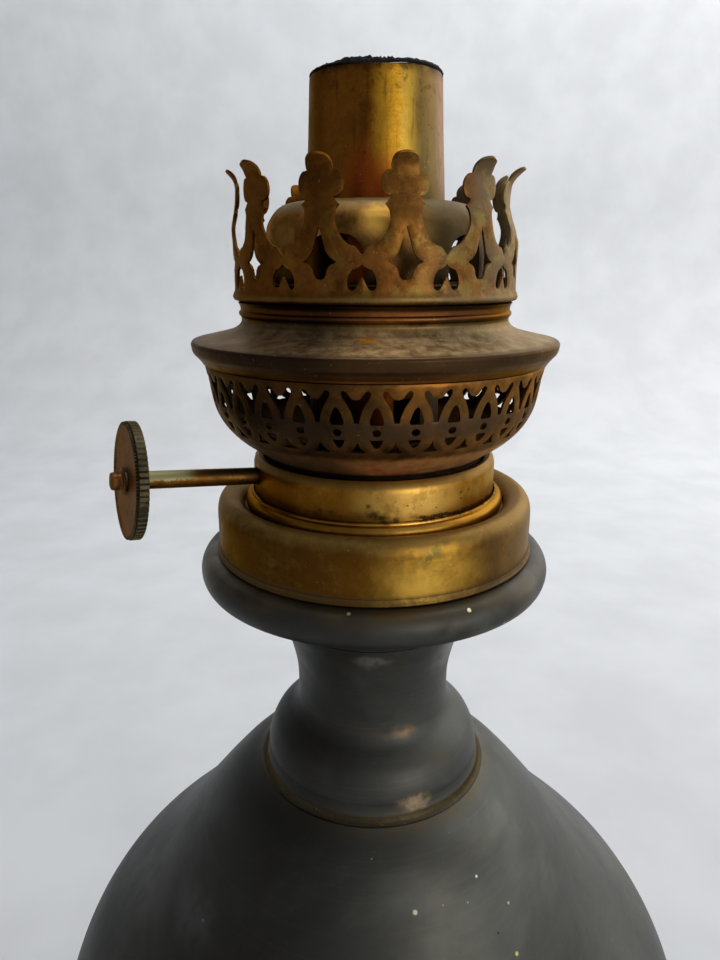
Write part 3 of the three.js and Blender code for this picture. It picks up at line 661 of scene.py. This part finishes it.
def dome_extra(mat):
    dust = mat.both(mat.band(259.8, 263, 0.8), mat.span(mat.noise(4, 5), 0.35, 0.65, 0.6, 1))
    mat.lay((106, 92, 60), dust)
    mat.lay((88, 70, 32), mat.spots(0.46, 0.62, 5, 6, 0.75), 0.45)
    # Painted highlight: a bright gold spot at the front, near the top.
    mat.lay((255, 200, 96), mat.near((20.4, 258.2, 0), 3.2, 0.8, 0.4, 2.4, 0.85), 0.95)
    # Painted shade: darker towards the bottom of the dome.
    mat.lay((44, 32, 20), mat.rest(mat.past(mat.height, 247.5, 256.5)), 0.8)
    # Dust and painted shade on the right side.
    dust_and_shade_right = mat.past(mat.side, 3, 11)
    mat.lay((96, 78, 44), dust_and_shade_right, 0.7)
    # Painted light on the left and in the middle, and painted shade on the right.
    mat.aged_with_painted_light((1.35, 1.3, 1.3), (1.15, 1.1, 1.05), (0.62, 0.64, 0.58))
    return mat.any(mat.both(dust, 0.5), mat.both(dust_and_shade_right, 0.55))


def solder_extra(mat):
    outer = mat.past(mat.radius, 24.9, 26.2)
    mat.lay((66, 63, 58), outer)
    return mat.both(outer, 0.1)


def spindle_extra(mat):
    """Pale green-grey tarnish and a painted highlight on the upper half of the outer stretch, and painted
    shade on the upper side near the drum.
    """
    along = mat.vector("DOT_PRODUCT", mat.place, around(1, 0, SPINDLE_TURN))
    axis = mat.math("ADD", 0.2083, mat.both(along, 0.1034))
    above = mat.ragged(mat.math("SUBTRACT", mat.height, axis), 3 * MM, 1.6, 6, 0.75)
    far = mat.math("SUBTRACT", mat.past(along, 36.2, 39.5), mat.past(along, 60, 61))
    # Tarnish and painted highlight on the top of the outer stretch.
    patina_and_highlight = mat.both(far, mat.past(above, -0.1, 0.4))
    mat.lay((158, 154, 112), patina_and_highlight, 0.9)
    # Painted shade on the upper side near the drum.
    near = mat.rest(mat.past(along, 34, 37))
    mat.lay((78, 68, 46), mat.past(above, 0, 0.9), near, 0.8)
    return mat.both(patina_and_highlight, 0.4)


def cotton(name):
    mat = Look(name)
    mat.base(mat.noise(3, 5), [(96, 82, 58), (140, 122, 90)], (0.3, 0.7))
    mat.lay((20, 17, 15), mat.past(mat.ragged(mat.height, 2 * MM, 1.2, 4), 280, 282.8))
    weave = {"Vector": mat.place, "Scale": 900.0, "Distortion": 1.5}
    weave = mat.node("TexWave", weave, bands_direction="Z").outputs["Fac"]
    return mat.finish(0.95, 0.0, [(weave, 0.1), (mat.noise(0.5, 4, 0.7), 0.25)])


FOUR_PLACES = (0.3, 0.48, 0.62, 0.76)
PALE = (176, 172, 156)
LOOKS = {
    "crown": brass(
        "aged crown brass", 12, [(64, 42, 14), (102, 66, 26), (124, 86, 38), (150, 110, 52)], (58, 38, 16),
        (0.36, 0.52), 0.96, crown_extra, (0.3, 0.46, 0.6, 0.74)),
    "flange": brass(
        "aged flange brass", 14, [(58, 40, 18), (80, 54, 26), (106, 70, 30), (144, 98, 44)], (46, 34, 22),
        (0.3, 0.46), 0.97, flange_extra, FOUR_PLACES),
    "basket": brass(
        "aged basket brass", 11, [(56, 38, 18), (82, 56, 24), (106, 70, 30), (134, 90, 40)], (44, 34, 22),
        (0.34, 0.5), 0.96, basket_extra, FOUR_PLACES),
    "drum": brass("drum brass", 15, [(118, 76, 16), (152, 102, 26), (180, 130, 44)], (96, 62, 16),
                  (0.28, 0.42), 0.98, drum_extra, dark_from=0.58),
    "collar": brass("collar brass", 20, [(68, 44, 12), (92, 60, 18), (120, 84, 28)], (56, 38, 12),
                    (0.34, 0.48), 0.97, collar_extra, dark_from=0.56),
    "tube": brass("tube brass", 11, [(88, 48, 10), (122, 74, 18), (150, 102, 32)], (66, 38, 12),
                  (0.3, 0.44), 0.98, tube_extra, streak=(80, 48, 14)),
    "dome": brass("dome brass", 12, [(96, 66, 30), (132, 94, 46), (160, 118, 60)], (70, 46, 22),
                  (0.32, 0.48), 0.97, dome_extra),
    "spindle": brass("spindle brass", 6, [(84, 54, 18), (112, 74, 26), (140, 98, 40)], (70, 46, 18),
                     (0.38, 0.52), 0.96, spindle_extra),
    "knob": brass("knob brass", 7, [(84, 54, 28), (112, 72, 38), (134, 90, 48)], (60, 44, 28),
                  (0.42, 0.58), 0.85, rings=0),
    "knob rim": brass("knob rim brass", 5, [(50, 48, 36), (74, 68, 50), (98, 88, 62)], (36, 34, 26),
                      (0.42, 0.58), 0.85, rings=0),
    "inner": brass("inner brass", 10, [(66, 48, 24), (90, 66, 34), (114, 86, 48)], (50, 38, 20), (0.4, 0.6)),
    "solder": brass("solder", 5, [(58, 54, 44), (70, 62, 44), (88, 76, 48)], (58, 56, 52),
                    (0.44, 0.56), extra=solder_extra, rings=0),
    "wick": cotton("charred cotton"),
    "body": pewter("pewter body", 0.25, scuffs_and_painted_light=[
        ((55, 110, -80), 13, (120, 120, 118), 0.7, 0.2), ((47, 119, -55), 8, (116, 116, 114), 0.6, 0.2),
        ((60, 103, -20), 14, (98, 96, 92), 0.8, 0.5),
    ], specks=[
        ((30.8, 138, -1), 0.45, (190, 170, 110)), ((29.1, 138.4, 32), 0.35, PALE),
        ((36.3, 132.5, 35), 0.5, (222, 222, 216)), ((37.6, 131, 12), 0.75, (190, 184, 158)),
        ((37.6, 131, 21), 0.4, (196, 140, 70)), ((38.4, 130, 29), 0.4, PALE),
        ((41.1, 126.5, 42), 0.45, PALE), ((43, 124, 35), 0.4, (38, 36, 34)),
        ((46.1, 120, 38), 0.6, (200, 180, 110)), ((46.1, 120, -51), 0.5, (96, 112, 150)),
    ]),
    "neck": pewter("pewter neck", 0.75, scuffs_and_painted_light=[
        # The patches at the front near the top, at 21° and at 20° near the lip are painted highlights.
        ((18.6, 176, -1), 4, (170, 168, 162), 0.5, 0.7), ((18.6, 157, 21), 3, (170, 132, 80), 0.5, 0.45),
        ((24.3, 144.6, 20), 3.6, (206, 178, 140), 0.5, 0.75),
        ((18.9, 174, -70), 8, (124, 124, 126), 0.9, 0.55), ((18.9, 174, 62), 7, (150, 150, 148), 0.9, 0.55),
    ], specks=[((17.4, 163, 8), 0.3, PALE)]),
    "rim": pewter("pewter rim", 0.4, scuffs_and_painted_light=[
        # Painted shade: the dark patches at 32° and 72° on the edge. Painted highlights: the yellowish
        # patches at 50° and at 34° low on the edge.
        ((36.5, 190, 32), 14, (36, 33, 28), 0.6, 0.9), ((36.5, 191, -75), 11, (128, 120, 102), 0.6, 0.8),
        ((36.5, 191, 72), 11, (62, 53, 38), 0.6, 0.75), ((33.5, 194, -40), 16, (92, 80, 58), 0.15, 0.7),
        ((33.5, 194, 0), 14, (96, 80, 50), 0.15, 0.8), ((33.5, 194, 40), 16, (70, 60, 42), 0.15, 0.8),
        ((36, 191, 50), 6, (104, 92, 64), 0.4, 0.35), ((36, 187.5, 34), 7, (118, 94, 62), 0.3, 0.25),
    ], specks=[
        ((34.6, 193.9, -8), 0.5, (214, 204, 170)), ((35.7, 193.4, 27), 0.6, (226, 218, 186)),
        ((36.4, 188.6, 40), 0.4, PALE), ((36, 189, -30), 0.3, PALE),
    ]),
}


# Fount

def uneven(amount, seed):
    """A turned shape that is slightly out of round."""
    def shape(r, z, deg):
        p = around(r, z, deg)
        return r - amount * (0.5 + 0.5 * noise(p * 0.035 + SEED * seed)), z
    return shape


def make_fount():
    wall = 1.6
    shoulder = path([(76.4, 72.3), (76.2, 76), (74.5, 85), (69.8, 94), (62.4, 102), (55.4, 109),
                     (49.2, 116), (43.8, 123), (38.3, 130), (32.3, 136.6), (26.2, 140.7)])
    upper = [*shoulder, (15.5, 141), (15.5, 139.4), *reversed(moved(shoulder, wall))]
    upper[len(shoulder) - 1] = (26.2, 140.9)
    piece("upper_body", lathe(upper, 192, uneven(0.35, 1)), "fount", "body", "body_upper_shell")
    bowl = path([(46, 11), (55.7, 15.3), (64.8, 25.6), (71.8, 40.3), (75.6, 56.7), (76.4, 72)], per=8)
    lower = [(0, 11), *bowl, (74.2, 72), (74.2, 75), (72.6, 75), (72.6, 72),
             *reversed(moved(bowl, wall)[:-2]), (0, 12.6)]
    piece("lower_body", lathe(lower, 192, uneven(0.35, 1)), "fount", "body", "body_lower_shell")
    foot = path([(43, 0), (53.9, 0)], [(54.5, 0.7), (54.5, 2), (53.9, 2.8)],
                [(52, 3.5), (50.2, 4.8), (49, 6.8), (48.6, 9), (48.5, 10.7)], [(45.3, 10.7)],
                [(45.3, 4.2), (43, 2.6)])
    piece("foot", lathe(foot, 160), "fount", "body", "foot_ring")
    outer = path([(24.7, 141.4), (24.72, 142.4), (24.45, 143.4), (24.3, 144.5), (24.3, 145.6), (24, 147.3),
                  (23.35, 149.1), (22.35, 151), (20.6, 152.9), (18.5, 154.8), (17.45, 156.6), (17.12, 158.6),
                  (17.05, 161.6), (17.2, 165), (18, 169.5), (19.3, 174), (21.5, 178.7)], per=5)
    neck = [*outer, (15.5, 178.7), (15.5, 151.9), (21.5, 145.8), (23.1, 141.4)]
    piece("neck_turned", lathe(neck, 160, uneven(0.12, 2)), "fount", "neck", "neck")

    def bead(r, z, deg):
        p = around(r, z, deg) * 0.16
        return r + 0.1 * noise(p) * (r > 25), z + 0.12 * noise(p + SEED) * (z > 140.9)

    solder = path([(24.5, 140.75), (26.3, 140.5)],
                  [(25.6, 140.95), (25.1, 141.4), (24.8, 142), (24.6, 142.7)], [(24.5, 140.75)], per=3)
    piece("solder_line", lathe(solder, 160, bead), "fount", "solder", "neck_solder_ring")
    edge = path([(21.8, 179), (25.6, 182.3), (30, 184.9), (34, 186.7), (36.2, 188.3), (36.85, 190.2),
                 (36.6, 192), (35.5, 193.5), (33.8, 194.15), (33.2, 194.2)], per=7)
    rim = [*edge, (29.5, 194.2), (29.5, 187.4), (16.3, 180.8), (16.3, 179)]
    piece("rim_turned", lathe(rim, 192, uneven(0.15, 3)), "fount", "rim", "rim_cup")


# Collar and screw fitting

PITCH = 1.7
THREAD_END = 0.8


def threaded(radius, depth, low, high):
    """Screw threads on one wall of a ring, between two heights. A depth under 0 cuts inwards."""
    def shape(r, z, deg):
        if abs(r - radius) > 0.01 or not low <= z <= high:
            return r, z
        fade = min(1, (z - low) / THREAD_END, (high - z) / THREAD_END)
        wave = 0.5 - 0.5 * cos(2 * pi * (z / PITCH - deg / 360))
        return r + depth * wave * max(fade, 0), z
    return shape


def make_collar():
    line = path([(32.8, 195.72), (32.8, 202.3)], [(32.65, 204), (32.2, 205.2), (31.4, 206), (30.6, 206.3),
                (29.6, 206.15), (28.5, 205.6), (27.35, 204.4)])
    line += reversed(moved(line, THICK))
    piece("collar", lathe(line, 192, uneven(0.1, 4)), "fount", "collar", "collar_shell")
    base = path([(29.5, 194.5), (33.2, 194.5)], [(33.25, 194.7), (33.05, 195.1), (32.85, 195.7)],
                [(29.5, 195.7)])
    piece("collar_base", lathe(base, 160), "fount", "collar", "collar_base_ring")
    bore = [(24.3, 196.2 + 0.1 * i) for i in range(73)]
    female = [*reversed(bore), (26.2, 196.2), (26.2, 202.6), (28.3, 202.6), (28.3, 203.4)]
    female = lathe(female, 96, threaded(24.3, 0.55, 196.4, 203))
    piece("collar_thread", female, "fount", "collar", "collar_thread_ring")
    wall = [(23.9, 206.9), (23.9, 204.2), *[(23.9, 204 - 0.1 * i) for i in range(70)]]
    male = [(22.9, 206.9), *wall, (21.5, 197.1), (21.5, 197.7), (22.9, 197.7)]
    male = lathe(male, 96, threaded(23.9, -0.5, 197.4, 204))
    piece("burner_thread", male, "burner", "drum", "burner_thread_ring")


# Drum, basket, tubes and wick

OPENINGS = 31
HOLE, SLIT = -71.5, 28.8  # degrees round the lamp
MOUTH, TOP = 283.42, 284.4


def make_drum():
    wall = Wall(path([(24.92, 204), (24.92, 212.5)], [(24.8, 213.4), (24.4, 214.05), (23.76, 214.4),
                     (23.1, 214.2), (22.65, 213.7)]), 24.92)
    way = wall.way_to(210.73)
    hole = [(max(1.95 * sin(a), 0), way - 1.95 * cos(a)) for a in (pi * k / 20 for k in range(21))]
    drum = pierced(wall, wall.whole(), [hole], HOLE, THICK, 1.1)
    piece("drum", drum, "burner", "drum", "burner_drum", sharp=50)
    ring = path([(25.25, 203.75), (26.4, 203.75)], [(26.75, 204.2), (26.85, 205), (26.6, 205.9),
                (26.1, 206.45), (25.7, 206.6)], [(25.55, 206.95), (25.25, 207.05)])
    piece("drum_bead", lathe(ring, 160), "burner", "drum", "drum_base_ring")


def make_basket():
    wall = Wall(path(
        [(22.3, 213), (22.3, 214.6)],
        [(22.7, 215), (23.4, 215.55), (25, 216.6), (27.3, 218.2), (29.7, 220.6), (31.05, 222.6),
         (31.9, 224.6), (32.4, 226.7), (32.75, 228.8), (33.1, 230.8), (33.45, 232.5)],
        [(33.5, 232.9)], per=5), 32, OPENINGS)
    vee = wall.opening(
        32.8, [(0, 226.5), (0.45, 226.5)],
        [(0.55, 227.15), (0.75, 227.9), (0.98, 228.5), (1.4, 229.4), (1.91, 230.2), (2.25, 230.8),
         (2.42, 231.35), (2.25, 231.8), (1.85, 231.9), (1.45, 231.6), (1.1, 231.1), (0.7, 230.6),
         (0.3, 230.45), (0, 230.42)])
    arch = wall.opening(
        32.5, [(0, 226.2), (1, 226.2)],
        [(1.17, 226.5), (1.08, 227.2), (0.78, 228.1), (0.38, 228.9), (0, 229.2)])
    dot = wall.opening(32, [(0, 224.15), (0.5, 224.3), (0.74, 224.8), (0.5, 225.3), (0, 225.45)])
    smile = wall.opening(
        31, [(0, 221.85), (0.5, 222.15), (0.85, 222.75), (1.1, 223.4)], [(0.5, 223.5), (0, 223.5)])
    wedge = wall.opening(
        30, [(0, 220.95), (0.8, 220.9), (1.45, 221.05)], [(0.7, 221.6), (0.25, 222.4), (0, 223.1)])
    basket = pierced(wall, wall.whole([smile, dot, arch]), [wedge, vee], -6.2, THIN, 0.75)
    piece("basket", basket, "burner", "basket", "air_basket", sharp=50)


def away(deg, middle):
    return (deg - middle + 180) % 360 - 180


def mouth_dip(deg):
    """How far the burnt mouth of the outer tube has sunk at its front."""
    return 0.65 * exp(-(away(deg, -6) / 25) ** 2)


def make_tubes():
    window = [(0, 3.35), (2.8, 3.35), (3.1, 3.7), (3.1, 11.8), (2.8, 12.1), (0, 12.1)]

    def dented(place, back, deg, _):
        push = 0.1 * noise(around(place.x, place.y, deg) * 0.09)
        lift = 0
        if place.y > 283:
            lift = 0.16 * noise(around(place.x, 0, deg) * 0.22) - mouth_dip(deg)
        return place + Vector((push, lift)), back + Vector((push, lift)), deg

    wall = Wall(path([(13.1, 214.8), (13.1, 262)], [(12.95, 265), (12, 283.3)], per=8), 13.1)
    tube = pierced(wall, wall.whole(), [window], SLIT, THICK, 1, dented)
    piece("wick_tube", tube, "burner", "tube", "outer_wick_tube", sharp=50)
    inner = Wall([(8.4, 214.8), (8.4, 282.3)], 8.4)
    draught = pierced(inner, inner.whole(), [window], SLIT, THIN, 1.2)
    piece("draught_tube", draught, "burner", "inner", "inner_draught_tube", sharp=50)


def make_crust():
    """Burnt residue along the outer tube's mouth."""
    line = path([(11.3, MOUTH), (12, MOUTH)], [(12.15, 283.6), (12, 283.85), (11.65, 283.98), (11.35, 283.8),
                (11.3, MOUTH)], per=4)

    def rough(r, z, deg):
        p = around(r, z, deg)
        thick = min(max((abs(away(deg, -63)) - 24) / 14, 0.12), 1) * (0.55 if 12 < deg < 100 else 1)
        high = min(max((z - MOUTH) / 0.3, 0), 1)
        grow = 0.3 * noise(p * 1.1) + 0.42 * noise(p * 3.1 + SEED) + 0.28
        top = z + high * (grow * thick - 0.3 * (1 - thick))
        out = high * (0.16 * noise(p * 1.7) - 0.2 * (1 - thick))
        return r + out, min(top, TOP - 0.02) - mouth_dip(deg)

    piece("burnt_rim", lathe(line, 300, rough), "burner", "wick", sharp=70, slot="wick")


def make_wick():
    """A band that curls into a tube above the burner plate, charred and ragged at its top."""
    heights = [40.2 + 4 * i for i in range(46)] + [225, 226.4, 227.8, 229.2, 231]
    heights += [234 + 4 * i for i in range(12)] + [281.2, 282.4, 283.2, 283.8, 284.2]
    columns, verts, faces = 120, [], []
    for z in heights:
        t = min(max((z - 225) / 6, 0), 1)
        span = 43.5 + (149.5 - 43.5) * t * t * (3 - 2 * t)
        top = min(max((z - 282.2) / 2, 0), 1)
        for radius, squeeze, way in ((10.75, -0.35, 1), (9.05, 0.35, -1)):
            for j in range(columns + 1)[::way]:
                deg = -151.2 + span * (2 * j / columns - 1)
                p = around(radius, z, deg)
                lift = 0.4 * noise(p * 1.3) - 0.02 + 0.3 * noise(p * 3.1)
                ripple = 0.12 * noise(p * 0.8 + SEED)
                inward = ripple if way < 0 else -abs(ripple)
                verts.append(around(radius + inward + squeeze * top, min(z + top * lift, TOP), deg))
    loop = 2 * columns + 2
    for low in range(0, len(verts) - loop, loop):
        for j in range(loop):
            n = (j + 1) % loop
            face = [low + j, low + n, low + loop + n, low + loop + j]
            faces.append(face if j <= columns else face[1:] + face[:1])
    for end in (0, len(verts) - loop):
        faces += [[end + j, end + j + 1, end + loop - 2 - j, end + loop - 1 - j] for j in range(columns)]
    piece("cotton_wick", (verts, faces), "wick", "wick", "wick", sharp=60)


# Gallery

PRONGS = 12
WINDOWS = 5


def make_gallery():
    outer = path(
        [(33.93, 233.2), (34.05, 233.5)],
        [(34.9, 234.5), (35.6, 235.3), (35.85, 236.3), (35.88, 236.9), (35.6, 237.3), (35, 237.45)],
        [(33, 237.9), (30, 238.6), (27.8, 239.3), (26.6, 240.1), (26.1, 241), (26.15, 241.6)],
        [(26.5, 242), (26.55, 242.5), (26.2, 242.9)], [(26.3, 243.6), (26.64, 244.3)], per=5)
    flange = [*outer, *reversed(moved(outer, THIN)[2:]), (33.2, 233.8), (31.3, 233.8), (31.3, 231.8),
              (31.9, 231.8), (31.9, 233.2)]
    piece("flange", lathe(flange, 192, uneven(0.12, 5)), "gallery", "flange", "gallery_flange")
    seat = [(17, 246.1), (23.9, 246.1), (23.9, 241.5), (24.7, 241.5), (24.7, 246.1), (26.1, 246.1),
            (26.1, 246.6), (22.24, 246.6), (22.24, 246.9), (17, 246.9)]
    piece("chimney_seat", lathe(seat, 128), "gallery", "flange", "chimney_seat_ring")


def make_crown():
    middle = 27
    wall = Wall(path(
        [(27.05, 244.6), (27.4, 245), (27.5, 245.4), (27.35, 245.9), (27.08, 246.3)], [(27, 246.8)],
        [(27, 250), (27, 256), (26.85, 257.6), (26.4, 259.2), (25.9, 261), (25.45, 263.2), (25.2, 265),
         (25.4, 266.2), (26.1, 267), (26.9, 267.6), (27.1, 267.8)], per=5), middle, PRONGS)
    heart = wall.opening(
        middle, [(0, 249.1), (0.35, 248.5), (0.75, 247.75), (1.2, 247.1), (1.7, 246.95), (2.25, 247.3),
                 (2.4, 248.2), (2.15, 249.3), (1.6, 250.15)], [(1, 250.35), (0.45, 250.6), (0, 251)])
    star = wall.opening(
        middle, [(0, 248.6), (0.6, 248.7), (1.05, 249.2), (1.3, 250.1)], [(1.75, 250.7), (2.95, 251.35)],
        [(2, 251.95), (1.3, 252.8), (0.85, 254.1), (0.45, 255.5), (0, 256.75)])
    stem = wall.opening(
        middle, [(7.07, 252.4), (6.6, 252.9), (6.15, 253.5), (5.7, 253.8)],
        [(5, 253.95), (4.25, 254.45), (3.55, 255.3), (2.95, 256.4), (2.62, 257.6), (2.6, 258.6),
         (2.8, 259.4), (3.35, 260.1)], [(2.8, 260.6), (2.45, 261.2)],
        [(3.25, 261.4), (3.9, 262.1), (4.12, 263.2), (3.9, 264.25), (3.2, 264.95), (2.35, 265.1)])
    tip = wall.opening(middle, [(2.35, 265.15), (2.42, 265.7), (2.25, 266.3), (1.75, 266.85), (0.95, 267.1),
                                (0, 267.2)])
    stem[0] = (wall.half, stem[0][1])
    right = [(0, 0), (wall.half, 0), *wall.on_border(heart), *stem, *tip]
    bends = [(0.6 * noise(SEED * (k + 1)), 0, 0.9 * noise(SEED * (k + 13))) for k in range(PRONGS)]
    bends[9:12] = (1.6, 0.4, 0), (1.6, 0.5, -3.3), (0.4, 0, -1.6)
    bends[0:3] = (0, 0, 0.3), (1.2, 0.2, 3), (1.6, -0.9, 4)

    def bent(place, back, deg, k):
        up = min(max((place.y - 255) / 12.5, 0), 1)
        lean, bow, side = bends[k]
        push = lean * up ** 3 + 4 * bow * up * (1 - up)
        wave = 0.12 * noise(around(place.x, place.y, deg) * 0.12)
        wave *= min(max((place.y - 247) / 3, 0), 1)
        shift = Vector((push + wave, -abs(push) * 0.08))
        return place + shift, back + shift, deg + side * up * up

    crown = pierced(wall, right, [star], 9.4, THIN, 0.62, bent)
    piece("pronged_crown", crown, "gallery", "crown", "crown", sharp=50)


def make_deflector():
    wall = Wall(path(
        [(20.8, 247.85), (20.8, 256.6)], [(20.65, 257.7), (19.9, 259.3), (18.7, 260.8), (17.6, 261.55),
        (16.4, 261.8)], [(13.55, 261.75)]), 20.8, WINDOWS)
    window = wall.opening(
        20.8, [(0, 248.2), (4.9, 248.2)],
        [(5.2, 248.6), (5.3, 250), (5.2, 252.6), (4.6, 254.3), (3.2, 255.5), (1.6, 255.95), (0, 256.05)])
    dome = pierced(wall, wall.whole(), [window], -20.5, THIN, 0.95)
    piece("dome", dome, "gallery", "dome", "air_deflector", sharp=50)
    lip = path([(20.25, 247.2), (21.8, 247.2)], [(21.94, 247.45), (21.8, 247.75)], [(20.25, 247.8)])
    piece("dome_lip", lathe(lip, 128), "gallery", "dome", slot="air_deflector")


# Wick raiser

RISE = radians(SPINDLE_RISE)
SIDE = around(1, 0, SPINDLE_TURN + 90)
OUT = around(cos(RISE), sin(RISE), SPINDLE_TURN)
AXES = Matrix((SIDE, OUT.cross(SIDE), OUT)).transposed().to_4x4()
RAISER = Matrix.Translation((SIDE * -4.4 + Vector((0, 0, 208.2))) * MM) @ AXES
TEETH, FINE_TEETH = 64, 106
KNOB_MIDDLE = 49.1  # along the spindle


def make_raiser():
    rod = split(path([(0, -7.2), (1.5, -7.2)], [(1.7, -7)], [(1.7, 50.1)], [(1.6, 50.2)], [(0, 50.2)]), 2.5)

    def worn(r, z, deg):
        return r - 0.05 * abs(noise(around(r, z, deg) * 0.5)) * (r > 1.6), z

    piece("spindle_rod", lathe(rod, 40, worn), "wick_raiser", "spindle", "spindle", place=RAISER)
    face = path([(1.85, -0.95), (9.2, -0.95), (9.9, -1), (10.3, -1.1)], per=2)
    face += [(10.8, -1.1), (10.9, -1.02), (10.9, -0.35), (10.9, 0.3), (10.9, 0.52), (10.72, 0.6),
             (10.72, 0.72), (10.82, 0.8), (10.82, 1.02), (10.65, 1.1), (10.1, 1.1), (9.8, 1), (9.5, 0.88),
             (8.8, 0.84), (6, 0.8), (1.85, 0.8)]

    def knurled(r, z, deg):
        if r < 10.6:
            return r, z + KNOB_MIDDLE
        fine = z > 0.66
        phase = (deg * (FINE_TEETH if fine else TEETH) / 360) % 1
        cut = 0.6 if fine else 0.24
        notch = abs(phase - 0.5) * 2 if fine else min(1, max(0, (abs(phase - 0.5) - 0.3) / 0.14))
        bite = 0.15 * noise(around(6, z, deg) * 0.7)
        return r - cut * notch * (1 + bite), z + KNOB_MIDDLE

    face = lathe(face, TEETH * 10, knurled)
    rim = piece("knob", face, "wick_raiser", "knob", "knob_disc", sharp=32, place=RAISER)
    rim.data.materials.append(LOOKS["knob rim"])
    turned_back = RAISER.inverted()
    for polygon in rim.data.polygons:
        local = turned_back @ polygon.center
        if hypot(local.x, local.y) > 10 * MM:
            polygon.material_index = 1
    nub = path([(0, 50.35), (2.6, 50.35)], [(2.65, 50.45), (2.3, 50.65), (1.85, 50.8), (1.75, 51.1)],
               [(1.75, 52.2), (1.6, 52.5)], [(1.2, 52.62), (0, 52.65)], per=3)

    def squarish(r, z, deg):
        if r < 0.5:
            return r, z
        return r * (1 - 0.05 * (1 + cos(radians(4 * deg))) * (z > 51)), z

    piece("knob_nub", lathe(nub, 48, squarish), "wick_raiser", "knob", "knob_hub", place=RAISER)


# Carried-over nodes

def dress_nodes():
    for name in ("burner_floor_plate", "burner_plate", "side_air_duct", "spindle_bush", "raiser_bracket",
                 "sprocket_outer", "sprocket_inner"):
        for slot in bpy.data.objects[name].material_slots:
            slot.material = LOOKS["inner"]


# Stage

def make_stage():
    """A floor that bends up into a wall far behind the lamp, in metres."""
    bend, radius, steps = 0.75, 0.35, 12
    line = [(-1.6, 0), (bend, 0)]
    for k in range(1, steps + 1):
        a = pi / 2 * k / steps
        line.append((bend + radius * sin(a), radius - radius * cos(a)))
    line.append((1.1, 1.9))
    verts = [Vector((x, y, z)) for y, z in line for x in (-2.2, 2.2)]
    faces = [[2 * i, 2 * i + 1, 2 * i + 3, 2 * i + 2] for i in range(len(line) - 1)]
    mesh = bpy.data.meshes.new("floor")
    mesh.from_pydata(verts, [], faces)
    mesh.shade_smooth()
    mat = Look("pale floor")
    mat.colour = tone(204, 206, 209)
    mat.lay((212, 214, 217), mat.spots(0.3, 0.7, 60, 3))
    mesh.materials.append(mat.finish(0.9, 0.0, Specular_IOR_Level=0.1))
    floor = add_object("floor", mesh)


def soft_light(name, place, target, size, power, colour=(1, 1, 1)):
    data = bpy.data.lights.new(name, "AREA")
    data.size = size
    data.energy = power
    data.color = colour
    light = add_object(name, data)
    light.location = place
    light.rotation_euler = (Vector(target) - Vector(place)).to_track_quat("-Z", "Y").to_euler()
    light.visible_camera = False


def make_world():
    """White round the horizon and darker overhead, towards the left and the front."""
    world = bpy.data.worlds.new("studio")
    sky = Nodes(world)
    way = sky.node("TexCoord").outputs["Generated"]
    aside = sky.vector("DOT_PRODUCT", way, (0.85, 0.3, 0))
    above = sky.step(sky.node("SeparateXYZ", {0: way}).outputs[2], 0.1, 0.5)
    low, high = sky.span(aside, -0.6, 0.6, 0.4, 0.95), sky.span(aside, -0.5, 0.8, 0.17, 0.75)
    shown = sky.node("Mix", {0: above, 2: low, 3: high}, data_type="FLOAT").outputs[0]
    rays = sky.node("LightPath").outputs
    seen = [rays[f"Is {kind} Ray"] for kind in ("Camera", "Glossy", "Transmission")]
    strength = {0: sky.math("MAXIMUM", *seen), 2: 0.3, 3: shown}
    strength = sky.node("Mix", strength, data_type="FLOAT").outputs[0]
    back = sky.node("Background", {0: (0.95, 0.975, 1, 1), 1: strength})
    sky.node("OutputWorld", {0: back.outputs[0]})
    bpy.context.scene.world = world


def make_lights():
    bpy.context.scene.view_settings.view_transform = "Standard"
    make_world()
    soft_light("window", (0.62, -0.8, 0.34), (0, 0, 0.22), 0.5, 2.4, (1, 0.95, 0.87))
    soft_light("right", (0.9, 0.6, 0.7), (0, 0, 0.18), 1.2, 8, (1, 0.98, 0.95))
    soft_light("back", (0.2, 0.3, 1.5), (0, 1.1, 0.9), 1.0, 15)


make_fount()
make_collar()
make_drum()
make_basket()
make_tubes()
make_crust()
make_wick()
make_gallery()
make_crown()
make_deflector()
make_raiser()
dress_nodes()
make_stage()
make_lights()
